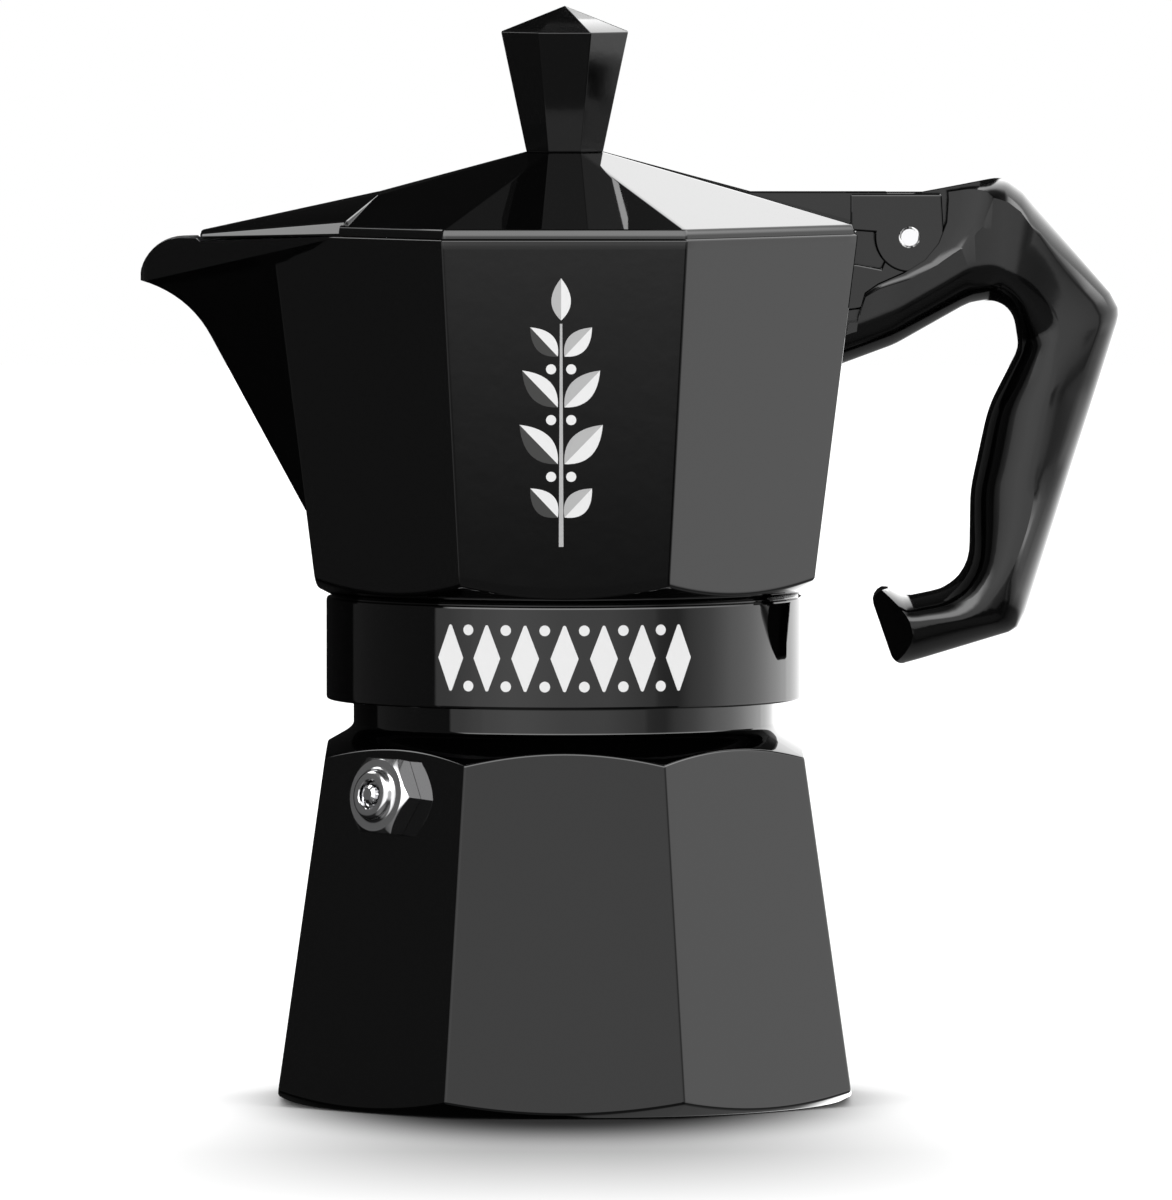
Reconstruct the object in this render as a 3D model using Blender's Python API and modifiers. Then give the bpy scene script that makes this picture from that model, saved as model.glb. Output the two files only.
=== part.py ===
"""Stovetop moka pot, three-cup size.

The origin is the centre of the boiler's base, +Z is up, the spout points to -X and the handle to +X.
Lengths below are in millimetres, and the helpers turn them into metres. Each shape is made in place, so an
object's location is its parent's: fixed pieces hang on the boiler, moving ones on an empty on their axis.
"""

from math import acos, atan, ceil, cos, degrees, pi, radians, sin

import bmesh
import bpy
from mathutils import Matrix, Vector

MM = 0.001

# Octagon: eight flat sides, with the corners turned half a side from the axes.
SIDES = 8
CORNER = 1 / cos(pi / SIDES)
HALF_SIDE = pi / SIDES

# Boiler.
BASE_APOTHEM = 43.4
BOILER_TAPER = 0.1407
BOILER_WALL = 2.8
FLOOR = 3.2
NECK_RADIUS = 31.9
NECK_BORE = 29.0
NECK_TOP = 71.6

# Screw thread between the boiler and the collector.
PITCH = 3.0
THREAD_TURNS = 3
THREAD_START = 61.8
THREAD_STEPS = 32
MALE_CREST = 33.0
FEMALE_ROOT = 33.4
FEMALE_CREST = 32.4

# Collector, the upper chamber.
COLLAR_RADIUS = 36.0
COLLAR_BOTTOM = 60.5
COLLAR_TOP = 75.9
COLLECTOR_BOTTOM_APOTHEM = 37.7
COLLECTOR_BOTTOM_Z = 80.3
COLLECTOR_TAPER = 0.1243
COLLECTOR_WALL = 2.4
RIM = 131.1
ABOVE_RIM = RIM + 2
SPOUT_START = Vector((-38.67, 0, 88.0))
SPOUT_BEND = Vector((-53.4, 0, 115.2))
SPOUT_PULL = Vector((-56.8, 0, 121.5))
SPOUT_TIP = Vector((-64.0, 0, 123.6))
SPOUT_SIDE = Vector((-33.2, 28.5, RIM))
SPOUT_DEPTH = 4.8
SPOUT_WALL = 3.4
LIP_WALL = 1.6
LIP_FLOOR = 1.8
LIP_TOP = 130.15
LIP_END = SPOUT_TIP.x - 0.1
UNDER_BEAK = 129.75

# Column, the riser tube in the collector.
COLUMN_FOOT = 83.8
COLUMN_TOP = 120.0
COLUMN_BORE = 3.5
OUTLET_Z = 115.0

# Lid.
LID_APOTHEM = 43.6
LID_BOTTOM = 131.4
LID_EDGE_TOP = 132.4
LID_TOP = 143.0
LID_TOP_APOTHEM = 5.75
LID_SLOPE = (LID_TOP - LID_EDGE_TOP) / (LID_APOTHEM - LID_TOP_APOTHEM)
LID_THICKNESS = 1.5
BEAK_END = -54.9
BEAK_TIP = (BEAK_END, 0, 131.2)
BEAK_HIP_X = -28.0
BEAK_HIP = (BEAK_HIP_X, 11.6, LID_TOP + LID_SLOPE * (BEAK_HIP_X + LID_TOP_APOTHEM))
BEAK_SHOULDER = (-33.6, 28.3, 133.4)
BEAK_HEEL = (-33.3, 28.2, LID_BOTTOM)

# Hinge: the pin's axis runs along Y.
PIN_X = 51.9
PIN_Z = 130.3
PIN_RADIUS = 1.3
PIN_HOLE = 1.6
TONGUE_HALF = 2.4
LUG = (2.7, 4.9)
EAR = (5.2, 7.2)
SLOT_DEPTH = 7.5
HANDLE_HALF = 8.7
RIB_TOP = 136.9

# Safety valve, on the axis of one slanted side of the boiler.
VALVE_HEADING = radians(225)
VALVE_Z = 47.0
VALVE_TILT = atan(BOILER_TAPER)
VALVE_CORNER = 6.47

# Funnel and the two perforated plates.
FUNNEL_TOP = 72.7
SHEET = 0.8
BASKET_RADIUS = 28.4
TUBE_RADIUS = 4.0
TUBE_BOTTOM = 7.5

ROUND = 48
SMALL = 24


# Scene and helpers.


def clear_scene():
    for obj in list(bpy.data.objects):
        bpy.data.objects.remove(obj, do_unlink=True)


def new_collection(name):
    made = bpy.data.collections.new(name)
    bpy.context.scene.collection.children.link(made)
    return made


def finish_of(name, colour, roughness, metallic):
    """A Principled material."""
    made = bpy.data.materials.new(name)
    made.use_nodes = True
    shader = made.node_tree.nodes["Principled BSDF"]
    shader.inputs["Base Color"].default_value = (*colour, 1)
    shader.inputs["Roughness"].default_value = roughness
    shader.inputs["Metallic"].default_value = metallic
    return made


def add(name, data):
    """A new object, kept with the helpers until it is published as a part."""
    obj = bpy.data.objects.new(name, data)
    HELPERS.objects.link(obj)
    obj.hide_render = True
    obj.display_type = "WIRE"
    return obj


def turned(name, profile, steps=ROUND):
    """A solid turned about Z from (radius, z) points down its outer side.

    A ring's points come back to the start. With eight steps the radius is that of the corners, and the
    flats face the axes.
    """
    on_axis = profile[0][0] == 0
    mesh = bpy.data.meshes.new(name)
    points = [(r * MM, 0, z * MM) for r, z in profile]
    edges = [(i, i + 1) for i in range(len(points) - 1)]
    if not on_axis:
        edges.append((len(points) - 1, 0))
    mesh.from_pydata(points, edges, [])
    obj = add(name, mesh)
    if steps == SIDES:
        obj.rotation_euler.z = HALF_SIDE
    screw = obj.modifiers.new("turn", "SCREW")
    screw.steps = steps
    screw.render_steps = steps
    screw.use_merge_vertices = on_axis
    screw.merge_threshold = 1e-5
    screw.use_smooth_shade = False
    return obj


def flat_sided(name, profile):
    """turned() with eight sides, from (apothem, z) points."""
    return turned(name, [(apothem * CORNER, z) for apothem, z in profile], SIDES)


def rod(name, radius, start, end, sides=SMALL):
    """A cylinder between two points."""
    start, end = Vector(start) * MM, Vector(end) * MM
    shape = bmesh.new()
    bmesh.ops.create_cone(
        shape,
        cap_ends=True,
        segments=sides,
        radius1=radius * MM,
        radius2=radius * MM,
        depth=(end - start).length,
    )
    turn = (end - start).to_track_quat("Z", "Y").to_matrix().to_4x4()
    bmesh.ops.transform(shape, matrix=Matrix.Translation((start + end) / 2) @ turn, verts=shape.verts)
    return add(name, mesh_from(name, shape))


def block(name, low, high):
    """A box between two corners."""
    low, high = Vector(low) * MM, Vector(high) * MM
    shape = bmesh.new()
    bmesh.ops.create_cube(shape)
    size = high - low
    bmesh.ops.transform(
        shape, matrix=Matrix.Translation((low + high) / 2) @ Matrix.Diagonal((*size, 1)), verts=shape.verts
    )
    return add(name, mesh_from(name, shape))


def hull(name, points):
    """The convex solid round some points."""
    shape = bmesh.new()
    for point in points:
        shape.verts.new(Vector(point) * MM)
    made = bmesh.ops.convex_hull(shape, input=shape.verts)
    inside = [g for g in made["geom_interior"] if isinstance(g, bmesh.types.BMVert)]
    bmesh.ops.delete(shape, geom=inside, context="VERTS")
    bmesh.ops.recalc_face_normals(shape, faces=shape.faces)
    return add(name, mesh_from(name, shape))


def loft(name, sections):
    """A solid through closed sections that all have the same number of points."""
    shape = bmesh.new()
    rings = [[shape.verts.new(Vector(point) * MM) for point in section] for section in sections]
    count = len(rings[0])
    for lower, upper in zip(rings, rings[1:]):
        for i in range(count):
            j = (i + 1) % count
            shape.faces.new((lower[i], lower[j], upper[j], upper[i]))
    shape.faces.new(rings[0])
    shape.faces.new(rings[-1])
    bmesh.ops.recalc_face_normals(shape, faces=shape.faces)
    return add(name, mesh_from(name, shape))


def rounded(corners, step=15):
    """The outline through (x, z) or (x, z, radius) corners, each radius turned into an arc."""
    outline = []
    for i, (x, z, *fillet) in enumerate(corners):
        corner = Vector((x, z))
        if not fillet:
            outline.append(corner)
            continue
        before = (Vector(corners[i - 1][:2]) - corner).normalized()
        after = (Vector(corners[(i + 1) % len(corners)][:2]) - corner).normalized()
        half = acos(max(-1, min(1, before.dot(after)))) / 2
        centre = corner + (before + after).normalized() * fillet[0] / sin(half)
        start = corner + before * fillet[0] * cos(half) / sin(half) - centre
        swing = pi - 2 * half
        if before.cross(after) > 0:
            swing = -swing
        parts = max(1, ceil(abs(degrees(swing)) / step))
        for k in range(parts + 1):
            outline.append(centre + start @ Matrix.Rotation(-swing * k / parts, 2))
    return outline


def arc(centre_x, centre_z, radius, start, end, step=15):
    """Points of an arc, with its angles in degrees from +X towards +Z."""
    parts = max(1, round(abs(end - start) / step))
    angles = [radians(start + (end - start) * k / parts) for k in range(parts + 1)]
    return [(centre_x + radius * cos(a), centre_z + radius * sin(a)) for a in angles]


def plate(name, outline, y_from, y_to):
    """A flat plate: an (x, z) outline made solid between two Y values."""
    curve = bpy.data.curves.new(name, "CURVE")
    curve.dimensions = "2D"
    curve.fill_mode = "BOTH"
    curve.extrude = abs(y_to - y_from) / 2 * MM
    spline = curve.splines.new("POLY")
    spline.points.add(len(outline) - 1)
    for point, (x, z) in zip(spline.points, outline):
        point.co = (x * MM, z * MM, 0, 1)
    spline.use_cyclic_u = True
    obj = add(name, curve)
    obj.rotation_euler.x = pi / 2
    obj.location.y = (y_from + y_to) / 2 * MM
    return to_mesh(obj)


def to_mesh(obj):
    """The curve as a mesh with its caps welded to its sides."""
    bpy.context.view_layer.update()
    graph = bpy.context.evaluated_depsgraph_get()
    mesh = bpy.data.meshes.new_from_object(obj.evaluated_get(graph))
    shape = bmesh.new()
    shape.from_mesh(mesh)
    bmesh.ops.remove_doubles(shape, verts=shape.verts, dist=1e-7)
    bmesh.ops.recalc_face_normals(shape, faces=shape.faces)
    shape.to_mesh(mesh)
    shape.free()
    name, place = obj.name, obj.matrix_world.copy()
    bpy.data.objects.remove(obj, do_unlink=True)
    made = add(name, mesh)
    made.matrix_world = place
    return made


def mesh_from(name, shape):
    mesh = bpy.data.meshes.new(name)
    shape.to_mesh(mesh)
    shape.free()
    return mesh


def boolean(obj, other, operation):
    step = obj.modifiers.new(other.name, "BOOLEAN")
    step.operation = operation
    step.object = other


def use_manifold(*objs):
    """Sets the other solver where EXACT leaves hairline slits beside an octagon's corner."""
    for obj in objs:
        for step in obj.modifiers:
            if step.type == "BOOLEAN":
                step.solver = "MANIFOLD"


def join(obj, *others):
    for other in others:
        boolean(obj, other, "UNION")


def cut(obj, *others):
    for other in others:
        boolean(obj, other, "DIFFERENCE")


def trim(obj, other):
    boolean(obj, other, "INTERSECT")


def ridge(name, root, crest, start):
    """A right-handed thread's helical ridge, from root to its free edge at crest."""
    bury = 0.6 if crest > root else -0.6
    half_root, half_crest = 0.75, 0.3
    inside = root - bury
    section = [(inside, half_root), (crest, half_crest), (crest, -half_crest), (inside, -half_root)]
    if crest < root:
        section.reverse()
    points = [(r * MM, 0, (start + z) * MM) for r, z in section]
    mesh = bpy.data.meshes.new(name)
    mesh.from_pydata(points, [(0, 1), (1, 2), (2, 3), (3, 0)], [])
    obj = add(name, mesh)
    screw = obj.modifiers.new("turn", "SCREW")
    screw.steps = THREAD_STEPS
    screw.render_steps = THREAD_STEPS
    screw.iterations = THREAD_TURNS
    screw.screw_offset = PITCH * MM
    screw.use_smooth_shade = False
    bpy.context.view_layer.update()
    graph = bpy.context.evaluated_depsgraph_get()
    shape = bmesh.new()
    shape.from_mesh(bpy.data.meshes.new_from_object(obj.evaluated_get(graph)))
    bmesh.ops.remove_doubles(shape, verts=shape.verts, dist=1e-7)
    bmesh.ops.holes_fill(shape, edges=[edge for edge in shape.edges if edge.is_boundary], sides=0)
    bmesh.ops.recalc_face_normals(shape, faces=shape.faces)
    bpy.data.objects.remove(obj, do_unlink=True)
    return add(name, mesh_from(name, shape))


def axis(name, location, rotation=(0, 0, 0)):
    """An empty on a joint's axis."""
    empty = bpy.data.objects.new(name, None)
    empty.location = Vector(location) * MM
    empty.rotation_euler = rotation
    PARTS.objects.link(empty)
    bpy.context.view_layer.update()
    return empty


def publish(obj, material, parent=None, local=False, sharp=30):
    """Makes a finished helper a part of the pot, with its modifiers applied and its round sides smooth."""
    bpy.context.view_layer.update()
    graph = bpy.context.evaluated_depsgraph_get()
    mesh = bpy.data.meshes.new_from_object(obj.evaluated_get(graph))
    obj.modifiers.clear()
    obj.data = mesh
    mesh.materials.clear()
    mesh.materials.append(material)
    mesh.shade_smooth()
    mesh.set_sharp_from_angle(angle=radians(sharp))
    HELPERS.objects.unlink(obj)
    PARTS.objects.link(obj)
    obj.hide_render = False
    obj.display_type = "TEXTURED"
    if parent:
        obj.parent = parent
        if not local:
            obj.matrix_parent_inverse = parent.matrix_world.inverted()
    return obj


# Boiler.


def boiler_apothem(z):
    return BASE_APOTHEM - BOILER_TAPER * z


def make_boiler():
    """The lower chamber: a tapered octagon trimmed by a turned outline, hollowed, threaded and bored."""
    above = 80
    body = turned(
        "boiler",
        [
            (0, NECK_TOP),
            (NECK_RADIUS - 0.6, NECK_TOP),
            (NECK_RADIUS, NECK_TOP - 0.6),
            (NECK_RADIUS, 57.0),
            (32.3, 56.2),
            (33.6, 55.3),
            (35.9, 54.0),
            (46.0, 48.3),
            (48.0, 2.9),
            (42.2, 0),
            (0, 0),
        ],
    )
    outer = flat_sided(
        "boiler_sides", [(0, above), (boiler_apothem(above), above), (boiler_apothem(-1), -1), (0, -1)]
    )
    trim(body, outer)
    hollow = turned(
        "boiler_hollow",
        [
            (0, above),
            (NECK_BORE, above),
            (NECK_BORE, 58.0),
            (31.0, 53.6),
            (34.5, 51.5),
            (45.0, 45.6),
            (45.0, FLOOR),
            (0, FLOOR),
        ],
    )
    inner = flat_sided(
        "boiler_inner_sides",
        [
            (0, above + 1),
            (boiler_apothem(above) - BOILER_WALL, above + 1),
            (boiler_apothem(0) - BOILER_WALL, FLOOR - 1),
            (0, FLOOR - 1),
        ],
    )
    trim(hollow, inner)
    cut(body, hollow)
    join(body, ridge("male_thread", NECK_RADIUS, MALE_CREST, THREAD_START))
    hole = rod("valve_hole", 4.2, (0, 0, -9), (0, 0, 3))
    hole.matrix_world = VALVE_AXIS.matrix_world
    cut(body, hole)
    use_manifold(body, hollow)
    return publish(body, ENAMEL)


# Safety valve. Its shapes lie along the valve axis: z is 0 on the boiler's side and grows outwards.


def make_valve(stem_axis):
    body = turned(
        "safety_valve_body",
        [(0, 4.7), (2.8, 4.7), (3.4, 4.4), (3.7, 3.9), (3.7, 0.3), (3.9, 0.3), (3.9, -8), (0, -8)],
        SMALL,
    )
    chamfer = turned(
        "valve_hexagon_chamfer",
        [(0, 3.3), (5.5, 3.3), (7.0, 2.1), (7.0, 0.3), (0, 0.3)],
        SMALL,
    )
    hexagon = turned("valve_hexagon", [(0, 4), (VALVE_CORNER, 4), (VALVE_CORNER, -1), (0, -1)], 6)
    hexagon.rotation_euler.z = radians(30)
    trim(chamfer, hexagon)
    join(body, chamfer)
    bore = turned(
        "valve_bore",
        [(0, 6), (2.15, 6), (2.15, 4.2), (2.6, 4.2), (2.6, -6.5), (1.2, -6.5), (1.2, -9), (0, -9)],
        SMALL,
    )
    cut(body, bore)
    publish(body, CHROME, VALVE_AXIS, local=True)

    guide = turned("valve_guide", [(1.4, 3.8), (2.35, 3.8), (2.35, 2.7), (1.4, 2.7)], SMALL)
    publish(guide, CHROME, VALVE_AXIS, local=True)

    stem = turned(
        "valve_stem",
        [
            (0, 5.1),
            (0.9, 5.0),
            (1.4, 4.7),
            (1.6, 4.2),
            (1.1, 4.1),
            (1.1, -3.9),
            (2.0, -3.9),
            (2.0, -4.9),
            (0, -4.9),
        ],
        16,
    )
    publish(stem, CHROME, stem_axis, local=True)

    seal = turned("valve_seal", [(0, -5.2), (2.1, -5.2), (2.1, -6.2), (0, -6.2)], 16)
    publish(seal, SILICONE, stem_axis, local=True)

    spring = coil("valve_spring", wire=0.2, radius=1.75, start=-3.3, end=2.3, turns=5)
    publish(spring, STEEL, VALVE_AXIS, local=True, sharp=80)


def coil(name, wire, radius, start, end, turns):
    """A compression spring about Z."""
    per_turn = 12
    count = turns * per_turn + 1
    curve = bpy.data.curves.new(name, "CURVE")
    curve.dimensions = "3D"
    curve.bevel_depth = wire * MM
    curve.bevel_resolution = 1
    curve.use_fill_caps = True
    spline = curve.splines.new("POLY")
    spline.points.add(count - 1)
    for i, point in enumerate(spline.points):
        angle = 2 * pi * i / per_turn
        height = start + (end - start) * i / (count - 1)
        point.co = (radius * cos(angle) * MM, radius * sin(angle) * MM, height * MM, 1)
    return to_mesh(add(name, curve))


# Funnel, plates and gasket.


def make_funnel():
    inside = BASKET_RADIUS - SHEET
    bore = TUBE_RADIUS - SHEET
    funnel = turned(
        "funnel",
        [
            (31.0, FUNNEL_TOP),
            (31.0, FUNNEL_TOP - SHEET),
            (BASKET_RADIUS, FUNNEL_TOP - SHEET),
            (BASKET_RADIUS, 53.5),
            (TUBE_RADIUS, 47.5),
            (TUBE_RADIUS, TUBE_BOTTOM),
            (bore, TUBE_BOTTOM),
            (bore, 48.2),
            (inside - 1.2, 53.6),
            (inside, 53.6),
            (inside, FUNNEL_TOP),
        ],
    )
    publish(funnel, ALUMINIUM, BOILER)
    perforated("funnel_disc", 27.2, 54.0, 54.6, hole=0.8, gap=8.0, parent=BOILER)


def perforated(name, radius, bottom, top, hole, gap, parent):
    """A round plate with rings of holes."""
    disc = turned(name, [(0, top), (radius, top), (radius, bottom), (0, bottom)])
    shape = bmesh.new()
    for ring in range(4):
        for k in range(max(1, 6 * ring)):
            angle = 2 * pi * k / max(1, 6 * ring)
            place = Vector((ring * gap * cos(angle), ring * gap * sin(angle), (bottom + top) / 2)) * MM
            bmesh.ops.create_cone(
                shape,
                cap_ends=True,
                segments=6,
                radius1=hole * MM,
                radius2=hole * MM,
                depth=4 * MM,
                matrix=Matrix.Translation(place),
            )
    cut(disc, add(name + "_holes", mesh_from(name + "_holes", shape)))
    publish(disc, ALUMINIUM, parent)


def make_seals(rise):
    gasket = turned("gasket", [(25.5, 76.0), (31.6, 76.0), (31.6, 73.0), (25.5, 73.0)])
    publish(gasket, SILICONE, rise)
    perforated("filter_plate", 28.5, 76.35, 77.15, hole=0.8, gap=7.4, parent=rise)


# Collector.


def collector_apothem(z):
    return COLLECTOR_BOTTOM_APOTHEM + COLLECTOR_TAPER * (z - COLLECTOR_BOTTOM_Z)


def spout_sections(wall, lip_wall, lip_floor, top):
    """V-shaped sections of the spout, level up to the bend, then rising to the sides as the front curves out.

    Each is a pair of mirrored front and back points, moved inwards by the walls for the channel.
    """
    bend_side = SPOUT_START.lerp(SPOUT_SIDE, (SPOUT_BEND.z - SPOUT_START.z) / (RIM - SPOUT_START.z))
    slant = (bend_side - SPOUT_BEND).normalized()
    stations = [(SPOUT_START, SPOUT_START, slant, 0), (SPOUT_BEND, bend_side, slant, 0)]
    for t in (0.25, 0.5, 0.75, 1):
        front = SPOUT_BEND * (1 - t) ** 2 + SPOUT_PULL * 2 * t * (1 - t) + SPOUT_TIP * t * t
        side = bend_side.lerp(SPOUT_SIDE, t)
        stations.append((front, side, (side - front).normalized(), t))
    front, side = Vector((SPOUT_TIP.x, 0, top)), Vector((SPOUT_SIDE.x, SPOUT_SIDE.y, top))
    stations.append((front, side, (side - front).normalized(), 1))
    sections = []
    for front, side, slant, lip in stations:
        inwards = Vector((wall + (lip_wall - wall) * lip, 0, lip_floor * lip))
        nose = Vector((0, 0.3 + 1.1 * lip, 0))
        front = front + inwards + nose
        back = side + slant * SPOUT_DEPTH + inwards + nose
        sections.append([mirrored(front), mirrored(back), back, front])
    return sections


def mirrored(point):
    x, y, z = point
    return (x, -y, z)


def make_collector(turn):
    """The upper chamber: octagon, collar, spout, thread, seats and hinge lugs in one casting."""
    body = turned(
        "collector",
        [(0, ABOVE_RIM), (60, ABOVE_RIM), (60, 89.8), (COLLAR_RADIUS, 76.6), (35.2, 76.25), (0, 76.25)],
    )
    top, bottom = ABOVE_RIM + 1, 76
    outer = flat_sided(
        "collector_sides",
        [(0, top), (collector_apothem(top), top), (collector_apothem(bottom), bottom), (0, bottom)],
    )
    trim(body, outer)
    collar = turned(
        "collar",
        [
            (0, 77.0),
            (35.2, 77.0),
            (35.2, COLLAR_TOP + 0.05),
            (35.7, COLLAR_TOP - 0.15),
            (COLLAR_RADIUS, COLLAR_TOP - 0.6),
            (COLLAR_RADIUS, COLLAR_BOTTOM + 0.4),
            (COLLAR_RADIUS - 0.4, COLLAR_BOTTOM),
            (0, COLLAR_BOTTOM),
        ],
    )
    spout = loft("spout", spout_sections(0, 0, 0, ABOVE_RIM))
    join(body, collar, spout)

    over = ABOVE_RIM + 2
    hollow = turned(
        "collector_hollow", [(0, over), (60, over), (60, 94.0), (34.5, 80.0), (6.0, 83.5), (0, 83.5)]
    )
    inner = flat_sided(
        "collector_inner_sides",
        [
            (0, over + 1),
            (collector_apothem(over) - COLLECTOR_WALL, over + 1),
            (collector_apothem(78) - COLLECTOR_WALL, 78),
            (0, 78),
        ],
    )
    trim(hollow, inner)
    lip = rounded(
        [
            (60, RIM),
            (-33.5, RIM),
            (BEAK_END, UNDER_BEAK),
            (BEAK_END - 0.5, LIP_TOP),
            (LIP_END, LIP_TOP, 6.4),
            (LIP_END, 120),
            (-72, 120),
            (-72, 140),
            (60, 140),
        ]
    )
    underside = turned(
        "collector_underside",
        [
            (0, 80.5),
            (3.5, 80.5),
            (26.5, 77.5),
            (28.8, 77.5),
            (28.8, 76.3),
            (32.0, 76.3),
            (32.0, 72.4),
            (FEMALE_ROOT, 71.6),
            (FEMALE_ROOT, COLLAR_BOTTOM + 0.6),
            (FEMALE_ROOT + 0.7, COLLAR_BOTTOM - 0.5),
            (0, COLLAR_BOTTOM - 0.5),
        ],
    )
    cut(
        body,
        hollow,
        loft("spout_channel", spout_sections(SPOUT_WALL, LIP_WALL, LIP_FLOOR, over)),
        plate("rim_cutter", lip, -60, 60),
        underside,
        rod("column_hole", 4.9, (0, 0, 75), (0, 0, 90)),
    )
    join(body, ridge("female_thread", FEMALE_ROOT, FEMALE_CREST, THREAD_START + PITCH / 2))

    outline = [(41.9, 126.2), (44.0, 126.2), (47.6, 125.5), (48.4, 127.4)]
    outline += arc(PIN_X, PIN_Z, 4.5, 180, -60)
    outline += [(50.5, 123.6), (44.5, 119.4), (41.3, 119.0)]
    for side in (-1, 1):
        join(body, plate(f"lug_{side}", outline, side * LUG[0], side * LUG[1]))
    cut(body, rod("lug_hole", PIN_HOLE, (PIN_X, -6, PIN_Z), (PIN_X, 6, PIN_Z), 16))
    use_manifold(body, hollow)
    publish(body, ENAMEL, turn)


def make_column(turn):
    column = turned(
        "column",
        [
            (0, COLUMN_TOP),
            (3.0, COLUMN_TOP - 0.3),
            (4.6, COLUMN_TOP - 1.6),
            (5.0, COLUMN_TOP - 3.0),
            (5.6, 90.0),
            (7.0, COLUMN_FOOT + 1.0),
            (7.0, COLUMN_FOOT),
            (4.6, COLUMN_FOOT),
            (4.6, 81.0),
            (0, 81.0),
        ],
        SMALL,
    )
    cut(
        column,
        rod("column_bore", COLUMN_BORE, (0, 0, 80), (0, 0, COLUMN_TOP - 2)),
        rod("column_outlets", 1.9, (0, -9, OUTLET_Z), (0, 9, OUTLET_Z), 16),
    )
    publish(column, ALUMINIUM, turn)


# Handle.


def make_handle(turn):
    """The grip, an outline with chamfered edges, and the slotted hinge head in one moulding."""
    grip_outline = rounded(
        [
            (55.0, 137.1),
            (67.13, 139.53, 5.0),
            (84.15, 119.7, 4.5),
            (68.79, 70.89, 3.5),
            (50.28, 65.31, 2.0),
            (45.6, 78.9, 1.6),
            (51.4, 75.9, 3.0),
            (61.0, 77.9, 7.0),
            (61.2, 92.0, 40.0),
            (63.9, 104.5, 30.0),
            (68.5, 113.5, 4.0),
            (67.3, 121.2, 4.0),
            (61.0, 120.1, 6.0),
            (55.0, 116.6),
        ]
    )
    handle = plate("handle", grip_outline, -HANDLE_HALF, HANDLE_HALF)
    chamfer = handle.modifiers.new("edges", "BEVEL")
    chamfer.width = 2.2 * MM
    chamfer.segments = 2
    chamfer.limit_method = "ANGLE"
    chamfer.angle_limit = radians(60)
    head_outline = rounded(
        [
            (53.2, 136.8),
            (63.4, 138.8),
            (66.0, 131.0),
            (65.5, 121.0),
            (61.0, 120.1, 6.0),
            (50.0, 113.6, 12.0),
            (41.85, 110.7),
            (44.4, 131.0, 2.5),
            (47.0, 134.8, 3.0),
        ]
    )
    join(handle, plate("handle_head", head_outline, -HANDLE_HALF, HANDLE_HALF))
    slot = [(40.0, 141.0), (63.3, 141.0), (PIN_X + 8.4, PIN_Z)]
    slot += arc(PIN_X, PIN_Z, 8.4, 0, -105)[1:]
    slot += [(47.0, 119.0), (44.4, 117.5), (40.0, 117.3)]
    cheek = [(40.0, 141.0), (63.8, 141.0), (63.2, 134.0), (62.8, 130.9), (59.1, 127.9), (54.7, 124.7)]
    cheek += [(50.3, 122.6), (46.8, 121.9), (45.3, 120.7), (44.4, 117.5), (43.6, 110.0), (40.0, 110.0)]
    for side in (-1, 1):
        cut(
            handle,
            plate(f"hinge_slot_{side}", slot, side * TONGUE_HALF, side * SLOT_DEPTH),
            plate(f"cheek_cutter_{side}", cheek, side * SLOT_DEPTH, side * (HANDLE_HALF + 1)),
        )
    cut(handle, rod("tongue_hole", PIN_HOLE, (PIN_X, -4, PIN_Z), (PIN_X, 4, PIN_Z), 16))
    publish(handle, PLASTIC, turn)


# Lid, knob and hinge pin.


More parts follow.
